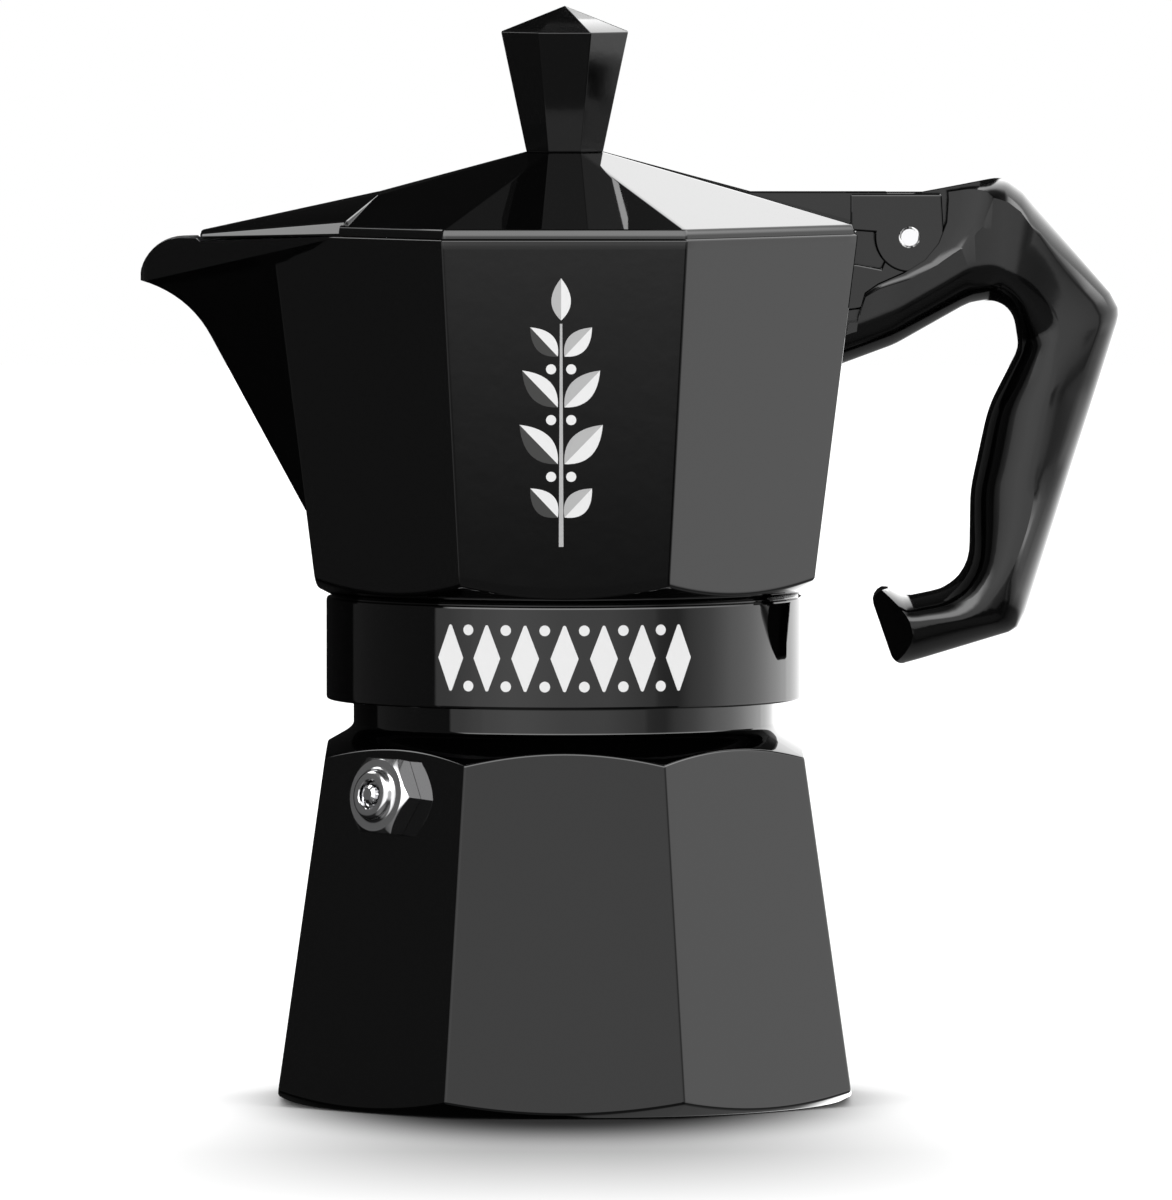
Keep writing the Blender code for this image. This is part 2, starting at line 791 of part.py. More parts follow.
def make_lid(hinge):
    """A hipped octagonal shell with a beak over the spout, a locating skirt and two hinge ears."""
    lid = flat_sided(
        "lid",
        [
            (0, LID_TOP),
            (LID_TOP_APOTHEM, LID_TOP),
            (LID_APOTHEM - 0.2, LID_EDGE_TOP + 0.05),
            (LID_APOTHEM, LID_EDGE_TOP - 0.3),
            (LID_APOTHEM, LID_BOTTOM + 0.3),
            (LID_APOTHEM - 0.3, LID_BOTTOM),
            (0, LID_BOTTOM),
        ],
    )
    room = []
    beak = [(-25, 0, 137.2), (-25, 0, LID_BOTTOM), BEAK_TIP]
    channel = [(-25, 0, 135.6), (-25, 0, 127), (-53.6, 0, 129.7), (-53.6, 0, 127)]
    for turn in (tuple, mirrored):
        room += [turn((*BEAK_HIP[:2], z)) for z in (125, 150)]
        room += [turn((-33.9, 28.2, z)) for z in (125, 150)]
        room += [turn((-70, 40, z)) for z in (125, 150)]
        beak += [turn(point) for point in (BEAK_HIP, BEAK_SHOULDER, BEAK_HEEL)]
        beak += [turn((BEAK_END, 7.6, z)) for z in (130.1, 130.9)]
        channel += [turn((-27.6, 10.6, 135.0))]
        channel += [turn((-33.0, 26.4, z)) for z in (127, 131.7)]
        channel += [turn((-53.6, 6.4, z)) for z in (127, 129.4)]
    cut(lid, hull("beak_room", room))
    rib = plate("rib", [(26.0, 134.0), (26.0, RIB_TOP), (42.4, RIB_TOP), (42.4, 132.0)], -5.4, 5.4)
    join(lid, hull("beak", beak), rib)
    bottom_inside = LID_APOTHEM - 1.6
    under_edge = LID_TOP - LID_SLOPE * (bottom_inside - LID_TOP_APOTHEM) - LID_THICKNESS
    hollow = flat_sided(
        "lid_hollow",
        [
            (0, LID_TOP - 1.8),
            (LID_TOP_APOTHEM + 0.8, LID_TOP - 1.8),
            (bottom_inside, under_edge),
            (bottom_inside, LID_BOTTOM - 2),
            (0, LID_BOTTOM - 2),
        ],
    )
    cut(lid, hollow, hull("beak_channel", channel))
    skirt = flat_sided("skirt", [(39.8, 132.5), (41.0, 132.2), (41.0, 129.6), (39.8, 129.6)])
    cut(skirt, block("spout_gap", (-60, -34, 128), (-26.5, 34, 140)))
    join(lid, skirt)
    prong = [(42.0, RIB_TOP), (48.5, RIB_TOP)]
    prong += arc(PIN_X, PIN_Z, 4.95, 133, 165)
    prong += [(45.6, 131.6), (42.0, 131.6)]
    ear = [(43.0, RIB_TOP - 0.1), (56.7, RIB_TOP - 0.1)]
    ear += arc(PIN_X, PIN_Z, 5.3, 15, -188)
    ear += [(43.0, 131.3)]
    for side in (-1, 1):
        join(
            lid,
            plate(f"prong_{side}", prong, side * LUG[0], side * (EAR[0] + 0.2)),
            plate(f"ear_{side}", ear, side * EAR[0], side * EAR[1]),
        )
    cut(
        lid,
        rod("ear_holes", PIN_HOLE, (PIN_X, -9, PIN_Z), (PIN_X, 9, PIN_Z), 16),
        rod("knob_screw_hole", 2.2, (0, 0, 138), (0, 0, 146), 16),
    )
    use_manifold(lid, skirt)
    publish(lid, ENAMEL, hinge)


def make_knob(hinge):
    bottom = LID_TOP + 0.3
    knob = flat_sided("knob", [(0, 165.0), (9.57, 161.1), (LID_TOP_APOTHEM, bottom), (0, bottom)])
    cut(knob, rod("insert_hole", 3.3, (0, 0, 140), (0, 0, 153.6), 16))
    publish(knob, PLASTIC, hinge)

    insert = turned("knob_insert", [(2.2, 153.2), (3.0, 153.2), (3.0, 144.0), (2.2, 144.0)], 16)
    publish(insert, BRASS, hinge)

    screw = turned(
        "knob_screw",
        [
            (0, 152.0),
            (1.5, 152.0),
            (1.9, 151.5),
            (1.9, 140.3),
            (3.4, 140.3),
            (3.4, 139.2),
            (2.6, 138.6),
            (0, 138.6),
        ],
        16,
    )
    cut(screw, block("driver_slot", (-4, -0.4, 138), (4, 0.4, 139.4)))
    publish(screw, STEEL, hinge)

    washer = turned("knob_washer", [(2.2, 140.9), (4.5, 140.9), (4.5, 140.6), (2.2, 140.6)], 16)
    publish(washer, STEEL, hinge)


def make_hinge_pin(turn):
    pin = rod("hinge_pin", PIN_RADIUS, (PIN_X, -7.8, PIN_Z), (PIN_X, 7.8, PIN_Z), 16)
    publish(pin, CHROME, turn)


clear_scene()
PARTS = new_collection("moka_pot")
HELPERS = new_collection("cutters")
HELPERS.hide_render = True

ENAMEL = finish_of("black_enamel", (0.012, 0.012, 0.013), 0.18, 0.0)
PLASTIC = finish_of("black_plastic", (0.014, 0.014, 0.015), 0.3, 0.0)
ALUMINIUM = finish_of("bare_aluminium", (0.78, 0.78, 0.79), 0.35, 1.0)
CHROME = finish_of("chrome", (0.72, 0.72, 0.73), 0.12, 1.0)
STEEL = finish_of("steel", (0.55, 0.55, 0.56), 0.3, 1.0)
BRASS = finish_of("brass", (0.72, 0.55, 0.28), 0.3, 1.0)
SILICONE = finish_of("white_silicone", (0.75, 0.74, 0.7), 0.6, 0.0)

VALVE_POINT = (
    boiler_apothem(VALVE_Z) * cos(VALVE_HEADING),
    boiler_apothem(VALVE_Z) * sin(VALVE_HEADING),
    VALVE_Z,
)
VALVE_TURN = (0, pi / 2 - VALVE_TILT, VALVE_HEADING)
VALVE_AXIS = axis("valve_axis", VALVE_POINT, VALVE_TURN)
BOILER = make_boiler()
make_valve(axis("valve_stem_axis", VALVE_POINT, VALVE_TURN))
make_funnel()
make_seals(axis("collector_rise_axis", (0, 0, NECK_TOP)))

UNSCREW = axis("collector_unscrew_axis", (0, 0, COLLAR_BOTTOM))
make_collector(UNSCREW)
make_column(UNSCREW)
make_handle(UNSCREW)
make_hinge_pin(UNSCREW)

LID_HINGE = axis("lid_hinge_axis", (PIN_X, 0, PIN_Z))
make_lid(LID_HINGE)
make_knob(LID_HINGE)
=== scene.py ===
"""Looks of the moka pot: refined castings and mouldings, their materials and the studio.

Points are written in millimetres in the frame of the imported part. The helpers turn them into metres.
"""

from math import acos, atan, atan2, cos, pi, radians, sin, tan

import bmesh
import bpy
from mathutils import Matrix, Vector


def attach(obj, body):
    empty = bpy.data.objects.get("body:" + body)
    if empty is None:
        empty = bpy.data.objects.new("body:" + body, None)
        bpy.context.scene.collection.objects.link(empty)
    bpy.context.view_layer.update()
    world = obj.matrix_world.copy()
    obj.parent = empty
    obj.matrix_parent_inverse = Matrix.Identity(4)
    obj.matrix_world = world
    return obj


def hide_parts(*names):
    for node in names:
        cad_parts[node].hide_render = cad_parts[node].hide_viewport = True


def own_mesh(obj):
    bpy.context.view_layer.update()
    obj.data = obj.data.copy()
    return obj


MM = 0.001
SIDES = 8
HALVINGS = 40

# Boiler.
BASE_APOTHEM = 43.4
BASE_RADIUS = 42.2
BOILER_TAPER = 0.1407
BOILER_WALL = 2.8
BOILER_FLOOR = 3.2
NECK_RADIUS = 31.9
NECK_BORE = 29.0
NECK_TOP = 71.6

# Thread.
PITCH = 3.0
THREAD_TURNS = 3
THREAD_START = 61.8
THREAD_STEPS = 96
THREAD_RUNOUT = 12
MALE_CREST = 33.0
FEMALE_ROOT = 33.4
FEMALE_CREST = 32.4

# Collector.
COLLAR_RADIUS = 36.0
COLLAR_BOTTOM = 60.5
COLLECTOR_BOTTOM_APOTHEM = 37.7
COLLECTOR_BOTTOM_Z = 80.3
COLLECTOR_TAPER = 0.1243
COLLECTOR_WALL = 2.4
RIM = 131.1
ABOVE_RIM = RIM + 2
SPOUT_START = Vector((-38.67, 0, 88.0))
SPOUT_BEND = Vector((-53.4, 0, 115.2))
SPOUT_PULL = Vector((-56.8, 0, 121.5))
SPOUT_TIP = Vector((-64.0, 0, 123.6))
SPOUT_SIDE = Vector((-33.2, 28.5, RIM))
SPOUT_DEPTH = 4.8
SPOUT_STEPS = 10
NOSE_STEPS = 4
LIP_TOP = 130.15
LIP_END = SPOUT_TIP.x - 0.1
LIP_NOSE = 6.4
UNDER_BEAK = 129.75

# Lid.
LID_APOTHEM = 43.6
LID_BOTTOM = 131.15
LID_EDGE_TOP = 132.4
LID_TOP = 143.0
LID_TOP_APOTHEM = 5.75
LID_SLOPE = (LID_TOP - LID_EDGE_TOP) / (LID_APOTHEM - LID_TOP_APOTHEM)
LID_THICKNESS = 1.5
LID_LIP = 1.6
LID_CAP = 1.8
BEAK_END = -54.9
BEAK_TIP = (BEAK_END, 0, 131.2)
BEAK_HIP_X = -28.0
BEAK_HIP = (BEAK_HIP_X, 11.6, LID_TOP + LID_SLOPE * (BEAK_HIP_X + LID_TOP_APOTHEM))
BEAK_SHOULDER = (-32.6, 27.1, 133.3)
BEAK_HEEL = (-33.3, 28.2, LID_BOTTOM)
BEAK_BACK = -25.0
CHANNEL_END = -53.6
CHANNEL_BOTTOM = 127.0
RIB_TOP = 136.9

# Hinge.
PIN_X = 51.9
PIN_Z = 130.3
PIN_HOLE = 1.6
TONGUE_HALF = 2.4
LUG = (2.7, 4.9)
EAR = (5.2, 7.2)
SLOT_DEPTH = 7.5
HANDLE_HALF = 8.7

# Safety valve.
VALVE_HEADING = radians(225)
VALVE_Z = 47.0
VALVE_TILT = atan(BOILER_TAPER)
VALVE_CORNER = 6.47

# Knob.
KNOB_BOTTOM = LID_TOP - 0.05
KNOB_WAIST = 5.75
KNOB_SHOULDER = (9.57, 161.1)
KNOB_TOP = 165.0


# Mesh helpers.


def scene_object(name, mesh):
    obj = bpy.data.objects.new(name, mesh)
    bpy.context.scene.collection.objects.link(obj)
    return obj


def closed_mesh(name, shape):
    """The bmesh as a mesh with coincident points merged and its faces turned outwards."""
    bmesh.ops.remove_doubles(shape, verts=shape.verts, dist=1e-6)
    bmesh.ops.recalc_face_normals(shape, faces=shape.faces)
    mesh = bpy.data.meshes.new(name)
    shape.to_mesh(mesh)
    shape.free()
    return mesh


def skin(name, columns, looped=False, caps=False):
    """A mesh through neighbouring columns of points, the last joined to the first.

    looped closes each column on itself, and caps fills its two ends.
    """
    shape = bmesh.new()
    grid = [[shape.verts.new(Vector(point) * MM) for point in column] for column in columns]
    rows = len(grid[0])
    for left, right in zip(grid, grid[1:] + grid[:1]):
        for i in range(rows if looped else rows - 1):
            j = (i + 1) % rows
            shape.faces.new((left[i], right[i], right[j], left[j]))
    if caps:
        shape.faces.new([column[0] for column in grid])
        shape.faces.new([column[-1] for column in grid])
    return scene_object(name, closed_mesh(name, shape))


def hull(name, points):
    """The convex solid round some points."""
    shape = bmesh.new()
    for point in points:
        shape.verts.new(Vector(point) * MM)
    made = bmesh.ops.convex_hull(shape, input=shape.verts)
    inside = [g for g in made["geom_interior"] if isinstance(g, bmesh.types.BMVert)]
    bmesh.ops.delete(shape, geom=inside, context="VERTS")
    bmesh.ops.dissolve_limit(shape, angle_limit=radians(0.5), verts=shape.verts, edges=shape.edges)
    return scene_object(name, closed_mesh(name, shape))


def rod(name, radius, start, end, sides=48):
    """A cylinder between two points."""
    start, end = Vector(start), Vector(end)
    across = (end - start).orthogonal().normalized() * radius
    axle = (end - start).normalized()
    columns = []
    for k in range(sides):
        reach = across @ Matrix.Rotation(2 * pi * k / sides, 3, axle)
        columns.append([start, start + reach, end + reach, end])
    return skin(name, columns)


def plate(name, outline, y_from, y_to):
    """A flat plate: an (x, z) outline made solid between two Y values."""
    return skin(name, [[(x, y_from, z), (x, y_to, z)] for x, z in outline], caps=True)


def arc(centre_x, centre_z, radius, start, end, step=6):
    """Points of an arc, with its angles in degrees from +X towards +Z."""
    parts = max(1, round(abs(end - start) / step))
    angles = [radians(start + (end - start) * k / parts) for k in range(parts + 1)]
    return [(centre_x + radius * cos(a), centre_z + radius * sin(a)) for a in angles]


def rounded(corners, parts=6):
    """The outline through (x, z) or (x, z, radius) corners, each radius turned into an arc."""
    outline = []
    for i, (x, z, *fillet) in enumerate(corners):
        corner = Vector((x, z))
        if not fillet:
            outline.append(corner)
            continue
        before = (Vector(corners[i - 1][:2]) - corner).normalized()
        after = (Vector(corners[(i + 1) % len(corners)][:2]) - corner).normalized()
        half = acos(max(-1, min(1, before.dot(after)))) / 2
        centre = corner + (before + after).normalized() * fillet[0] / sin(half)
        start = corner + before * fillet[0] * cos(half) / sin(half) - centre
        swing = pi - 2 * half
        if before.cross(after) > 0:
            swing = -swing
        for k in range(parts + 1):
            outline.append(centre + start @ Matrix.Rotation(-swing * k / parts, 2))
    return outline


def eased(stations, parts=4):
    """A path through (point, cut) stations, each corner with a cut turned into a short curve."""
    path = []
    for i, (point, cut) in enumerate(stations):
        if not cut:
            path.append(point)
            continue
        before = stations[i - 1][0] - point
        after = stations[i + 1][0] - point
        start = point + before.normalized() * min(cut, before.length * 0.45)
        end = point + after.normalized() * min(cut, after.length * 0.45)
        for k in range(parts + 1):
            t = k / parts
            path.append(start * (1 - t) ** 2 + point * 2 * t * (1 - t) + end * t * t)
    return path


def boolean(obj, operation, *others):
    """Joins, cuts or trims with the others and removes them."""
    for other in others:
        step = obj.modifiers.new(other.name, "BOOLEAN")
        step.operation = operation
        step.solver = "MANIFOLD"
        step.object = other
    bake(obj)
    for other in others:
        bpy.data.objects.remove(other, do_unlink=True)


def bake(obj):
    """Applies the object's modifiers."""
    bpy.context.view_layer.update()
    graph = bpy.context.evaluated_depsgraph_get()
    mesh = bpy.data.meshes.new_from_object(obj.evaluated_get(graph))
    obj.modifiers.clear()
    obj.data = mesh


def soften(obj, width, angle, segments=3):
    """Rounds the edges sharper than the angle."""
    bevel = obj.modifiers.new("edges", "BEVEL")
    bevel.width = width * MM
    bevel.segments = segments
    bevel.limit_method = "ANGLE"
    bevel.angle_limit = radians(angle)
    bake(obj)


def octagon_reach(point, sides=range(SIDES)):
    """How far out a point lies, measured square to the given sides of the octagon."""
    step = 2 * pi / SIDES
    return max(point.x * cos(side * step) + point.y * sin(side * step) for side in sides)


def line(obj, bare):
    """Gives the second material to the faces for which bare(centre, normal) is true."""
    for face in obj.data.polygons:
        face.material_index = int(bare(face.center / MM, face.normal))


def finish(obj, body, slot, *materials, sharp=40):
    """Gives a piece its materials, its body and smooth shading that keeps flat faces flat."""
    mesh = obj.data
    mesh.materials.clear()
    for material in materials:
        mesh.materials.append(material)
    mesh.shade_smooth()
    mesh.set_sharp_from_angle(angle=radians(sharp))
    weighted = obj.modifiers.new("flat_faces", "WEIGHTED_NORMAL")
    weighted.keep_sharp = True
    weighted.weight = 80
    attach(obj, body)
    return obj


# Faceted and turned shapes. A sample is one column round the octagon: a side's angle, the slide
# along its flat from -1 to 1, and the turn round the rounded edge that follows it.


def samples(flat_parts, edge_parts):
    """The columns round the octagon, with so many parts to each flat and each rounded edge."""
    step = 2 * pi / SIDES
    found = []
    for side in range(SIDES):
        for k in range(flat_parts + 1):
            found.append((side * step, -1 + 2 * k / flat_parts, 0))
        for k in range(1, edge_parts):
            found.append((side * step, 1, step * k / edge_parts))
    return found


def on_octagon(sample, apothem, z, radius=0.8):
    """The point of a rounded octagon at a column."""
    side, slide, turn = sample
    reach = (apothem - radius) * tan(pi / SIDES)
    along = Vector((cos(side), sin(side), 0))
    across = Vector((-sin(side), cos(side), 0))
    centre = along * (apothem - radius) + across * reach * slide
    out = Vector((cos(side + turn), sin(side + turn), 0))
    return centre + out * radius + Vector((0, 0, z))


def on_circle(point, radius, z):
    """The point of a circle in the direction of another point."""
    flat = Vector((point.x, point.y, 0)).normalized()
    return flat * radius + Vector((0, 0, z))


def along(profile, z):
    """The radius at a height on a profile of (radius, z) points in order of z."""
    for (r0, z0), (r1, z1) in zip(profile, profile[1:]):
        if z <= z1:
            return r0 + (r1 - r0) * (z - z0) / (z1 - z0)
    return profile[-1][0]


def meeting(sample, apothem_at, profile):
    """The point where a column's flat meets a turned profile."""
    def gap(z):
        return on_octagon(sample, apothem_at(z), z).xy.length - along(profile, z)

    low, high = profile[0][1], profile[-1][1]
    rising = gap(high) > gap(low)
    for _ in range(HALVINGS):
        middle = (low + high) / 2
        if (gap(middle) > 0) == rising:
            high = middle
        else:
            low = middle
    return on_octagon(sample, apothem_at(low), low)


def curve_points(start, control, end, parts):
    """Points of the curve from start to end that bends towards control."""
    points = []
    for k in range(parts + 1):
        t = k / parts
        corners = zip(start, control, end)
        points.append(tuple(a * (1 - t) ** 2 + b * 2 * t * (1 - t) + c * t * t for a, b, c in corners))
    return points


def rings(point, stations):
    """(point, cut) stations on circles, from (radius, z, cut) rows in the direction of a point."""
    return [(on_circle(point, radius, z), cut) for radius, z, cut in stations]


def loft(name, sections):
    """A solid through neighbouring closed sections, with its two ends filled."""
    return skin(name, list(zip(*sections)), caps=True)


def ridge(name, root, crest, start):
    """A right-handed thread's ridge, from inside the wall at root to its rounded crest."""
    bury = 0.3 if crest > root else -0.3
    section = [(root - bury, 0.95), (root, 0.8), (crest - bury / 3, 0.42), (crest, 0.3)]
    section += [(r, -z) for r, z in reversed(section)]
    columns = []
    count = THREAD_TURNS * THREAD_STEPS
    for k in range(count + 1):
        angle = 2 * pi * k / THREAD_STEPS
        taper = min(1, k / THREAD_RUNOUT, (count - k) / THREAD_RUNOUT)
        ring = []
        for r, z in section:
            r = root - bury + (r - root + bury) * max(0.05, taper)
            ring.append((r * cos(angle), r * sin(angle), start + PITCH * k / THREAD_STEPS + z))
        columns.append(ring)
    return loft(name, columns)


# Boiler.


def boiler_apothem(z):
    return BASE_APOTHEM - BOILER_TAPER * z


# Turned profiles that cut the boiler's flats, as (radius, z) points.
BOILER_FOOT = [(BASE_RADIUS, 0), (48.0, 2.9)]
FILLET_START = (33.6, 55.3)
NECK_FILLET = curve_points(FILLET_START, (NECK_RADIUS, 56.26), (NECK_RADIUS, 57.0), 8)
BOILER_SHOULDER = [(50.0, 46.04)] + NECK_FILLET + [(NECK_RADIUS, 58.7)]
NECK_BORE_END = 58.0


def boiler_column(sample):
    """A column from the middle of the base, up the outside, down the bore and to the floor's middle."""
    foot = meeting(sample, boiler_apothem, BOILER_FOOT)
    top = meeting(sample, boiler_apothem, BOILER_SHOULDER)
    path = [(Vector((0, 0, 0)), 0), (on_circle(foot, BASE_RADIUS, 0), 0.3), (foot, 0.5)]
    for share in (0.03, 0.25, 0.5, 0.75, 0.97):
        z = foot.z + (top.z - foot.z) * share
        path.append((on_octagon(sample, boiler_apothem(z), z), 0))
    path.append((top, 0.3))
    slope = [top.z + (FILLET_START[1] - top.z) * share for share in (0.25, 0.5, 0.75)]
    path += rings(top, [(along(BOILER_SHOULDER, z), z, 0) for z in slope + [z for _, z in NECK_FILLET]])
    path += rings(
        top, [(NECK_RADIUS, NECK_TOP, 0.7), (NECK_BORE, NECK_TOP, 0.4), (NECK_BORE, NECK_BORE_END, 0)]
    )
    for z, cut in ((49.0, 0), (25.0, 0), (BOILER_FLOOR + 3, 0), (BOILER_FLOOR, 2)):
        path.append((on_octagon(sample, boiler_apothem(z) - BOILER_WALL, z), cut))
    path.append((Vector((0, 0, BOILER_FLOOR)), 0))
    return eased(path)


def in_boiler(centre, normal):
    """True for the faces of the chamber and of the neck's bore."""
    if centre.z < BOILER_FLOOR - 0.5:
        return False
    return normal.xy.dot(centre.xy) < 0 or (normal.z > 0.5 and centre.z < BOILER_FLOOR + 3)


def make_boiler():
    boiler = skin("boiler_casting", [boiler_column(sample) for sample in samples(20, 5)])
    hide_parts("boiler")
    finish(boiler, "boiler", "black_enamel", ENAMEL, CAST_INSIDE)
    line(boiler, in_boiler)
    thread = ridge("boiler_thread", NECK_RADIUS, MALE_CREST, THREAD_START)
    finish(thread, "boiler", "black_enamel", CAST_INSIDE)


# Safety valve. Its shapes lie along the valve axis: z is 0 on the boiler's side and grows outwards.

VALVE_END = 4.7
VALVE_BORE = [
    (0, 6),
    (2.5, 6),
    (2.3, 4.72),
    (2.15, 4.55),
    (2.15, 4.2),
    (2.6, 4.2),
    (2.6, -6.5),
    (1.2, -6.5),
    (1.2, -9),
    (0, -9),
]


def turned(name, profile, sides=96, first=0.0):
    """A solid turned about Z from (radius, z) points."""
    columns = []
    for k in range(sides):
        angle = first + 2 * pi * k / sides
        columns.append([(r * cos(angle), r * sin(angle), z) for r, z in profile])
    return skin(name, columns)


def make_valve():
    """The hexagon with its turned chamfer, a fillet up to the short nozzle, and the bore."""
    nozzle = (3.75, 3.9)
    rim = curve_points((2.75, VALVE_END), (3.7, 4.65), nozzle, 6)
    root = curve_points(nozzle, (3.8, 3.35), (4.9, 3.32), 6)
    chamfer = [(5.4, 3.25), (7.1, 2.1), (7.1, 0)]
    body = turned("valve_casting", [(0, VALVE_END)] + rim + root + chamfer + [(0, 0)])
    corners = [(0, 6), (VALVE_CORNER, 6), (VALVE_CORNER, -1), (0, -1)]
    hexagon = turned("hexagon", corners, sides=6, first=radians(30))
    boolean(body, "INTERSECT", hexagon)
    soften(body, 0.12, 40, 2)
    boolean(body, "UNION", turned("valve_shank", [(0, 1), (3.9, 1), (3.9, -8), (0, -8)]))
    boolean(body, "DIFFERENCE", turned("valve_bore", VALVE_BORE))
    body.data.transform(valve_place())
    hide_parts("safety_valve_body")
    finish(body, "boiler", "chrome", CHROME, sharp=25)


def valve_place():
    """The transform from the valve's own axis to its place on the boiler."""
    foot = Vector((cos(VALVE_HEADING), sin(VALVE_HEADING), 0)) * boiler_apothem(VALVE_Z)
    foot += Vector((0, 0, VALVE_Z))
    turn = Matrix.Rotation(VALVE_HEADING, 4, "Z") @ Matrix.Rotation(pi / 2 - VALVE_TILT, 4, "Y")
    return Matrix.Translation(foot * MM) @ turn


def press_spring():
    """Gives the valve spring a mesh of its own."""
    place = valve_place()
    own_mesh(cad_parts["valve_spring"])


# Collector.


def collector_apothem(z):
    return COLLECTOR_BOTTOM_APOTHEM + COLLECTOR_TAPER * (z - COLLECTOR_BOTTOM_Z)


def collector_inside(z):
    return collector_apothem(z) - COLLECTOR_WALL


# Turned profiles that cut the collector's flats, outside and inside, as (radius, z) points.
COLLECTOR_FOOT = [(COLLAR_RADIUS, 76.6), (60.0, 89.8)]
COLLECTOR_FLOOR = [(34.5, 80.0), (60.0, 94.0)]
COLLAR_OUTLINE = [
    (35.2, 76.25, 0.2),
    (35.2, 75.95, 0.1),
    (COLLAR_RADIUS, 75.95, 0.65),
    (COLLAR_RADIUS, COLLAR_BOTTOM, 0.5),
    (33.9, COLLAR_BOTTOM, 0.2),
    (FEMALE_ROOT, 61.1, 0),
    (FEMALE_ROOT, 71.6, 0),
    (32.0, 72.4, 0),
    (32.0, 76.3, 0),
    (28.8, 76.3, 0),
    (28.8, 77.5, 0),
    (26.5, 77.5, 0),
]


def collector_column(sample):
    """A closed column: floor, inner wall, rim, outer wall, collar, and back up the thread's bore."""
    foot = meeting(sample, collector_apothem, COLLECTOR_FOOT)
    inner = meeting(sample, collector_inside, COLLECTOR_FLOOR)
    path = rings(foot, [(4.9, 80.6, 0), (4.9, 83.5, 0.2), (*COLLECTOR_FLOOR[0], 1.0)])
    path.append((inner, 1.2))
    for share in (0.05, 0.35, 0.65, 0.95):
        z = inner.z + (RIM - inner.z) * share
        path.append((on_octagon(sample, collector_inside(z), z), 0))
    path.append((on_octagon(sample, collector_inside(RIM), RIM), 0.3))
    for apothem, drop, cut in ((43.6, 0, 0), (43.93, 0.22, 0.2), (43.9, 0.9, 0.4)):
        path.append((on_octagon(sample, apothem, RIM - drop), cut))
    for share in (0.97, 0.75, 0.5, 0.25, 0.03):
        z = foot.z + (RIM - foot.z) * share
        path.append((on_octagon(sample, collector_apothem(z), z), 0))
    path.append((foot, 0.55))
    path += rings(foot, COLLAR_OUTLINE)
    return eased(path)


def spout_sections(wall, lip_wall, lip_floor, top, nose):
    """V-shaped sections of the spout: level up to the bend, then with the front curving out.

    The front moves in by wall, or at the lip by lip_wall and up by lip_floor. nose is the radius of
    the V's edge at the start and at the lip, and top the height of the last section.
    """
    share = (SPOUT_BEND.z - SPOUT_START.z) / (RIM - SPOUT_START.z)
    bend_side = SPOUT_START.lerp(SPOUT_SIDE, share)
    slant = (bend_side - SPOUT_BEND).normalized()
    stations = [(SPOUT_START, SPOUT_START, slant, 0), (SPOUT_BEND, bend_side, slant, 0)]
    for k in range(1, SPOUT_STEPS + 1):
        t = k / SPOUT_STEPS
        front = SPOUT_BEND * (1 - t) ** 2 + SPOUT_PULL * 2 * t * (1 - t) + SPOUT_TIP * t * t
        side = bend_side.lerp(SPOUT_SIDE, t)
        stations.append((front, side, (side - front).normalized(), t))
    front, side = Vector((SPOUT_TIP.x, 0, top)), Vector((SPOUT_SIDE.x, SPOUT_SIDE.y, top))
    stations.append((front, side, (side - front).normalized(), 1))
    sections = []
    for front, side, slant, lip in stations:
        inwards = Vector((wall + (lip_wall - wall) * lip, 0, lip_floor * lip))
        radius = nose[0] + (nose[1] - nose[0]) * lip
        opening = pi / 2 - atan2(slant.y, slant.x)
        centre = front + inwards + Vector((radius, 0, 0))
        back = side + slant * SPOUT_DEPTH + inwards
        half = []
        for k in range(NOSE_STEPS + 1):
            turn = opening * k / NOSE_STEPS
            half.append(centre + Vector((-cos(turn), sin(turn), 0)) * radius)
        half.append(half[-1].lerp(back, 0.5))
        half.append(back)
        mirrored = [Vector((x, -y, z)) for x, y, z in reversed(half[1:])]
        sections.append(mirrored + half)
    return sections


def in_collector(centre, normal):
    """True for the faces inside the walls and in the spout's channel."""
    if not COLLECTOR_BOTTOM_Z - 1 < centre.z < RIM - 0.1:
        return False
    in_channel = centre.x < -36 and normal.x > 0.2
    return octagon_reach(centre) < collector_inside(centre.z) + 0.5 or in_channel


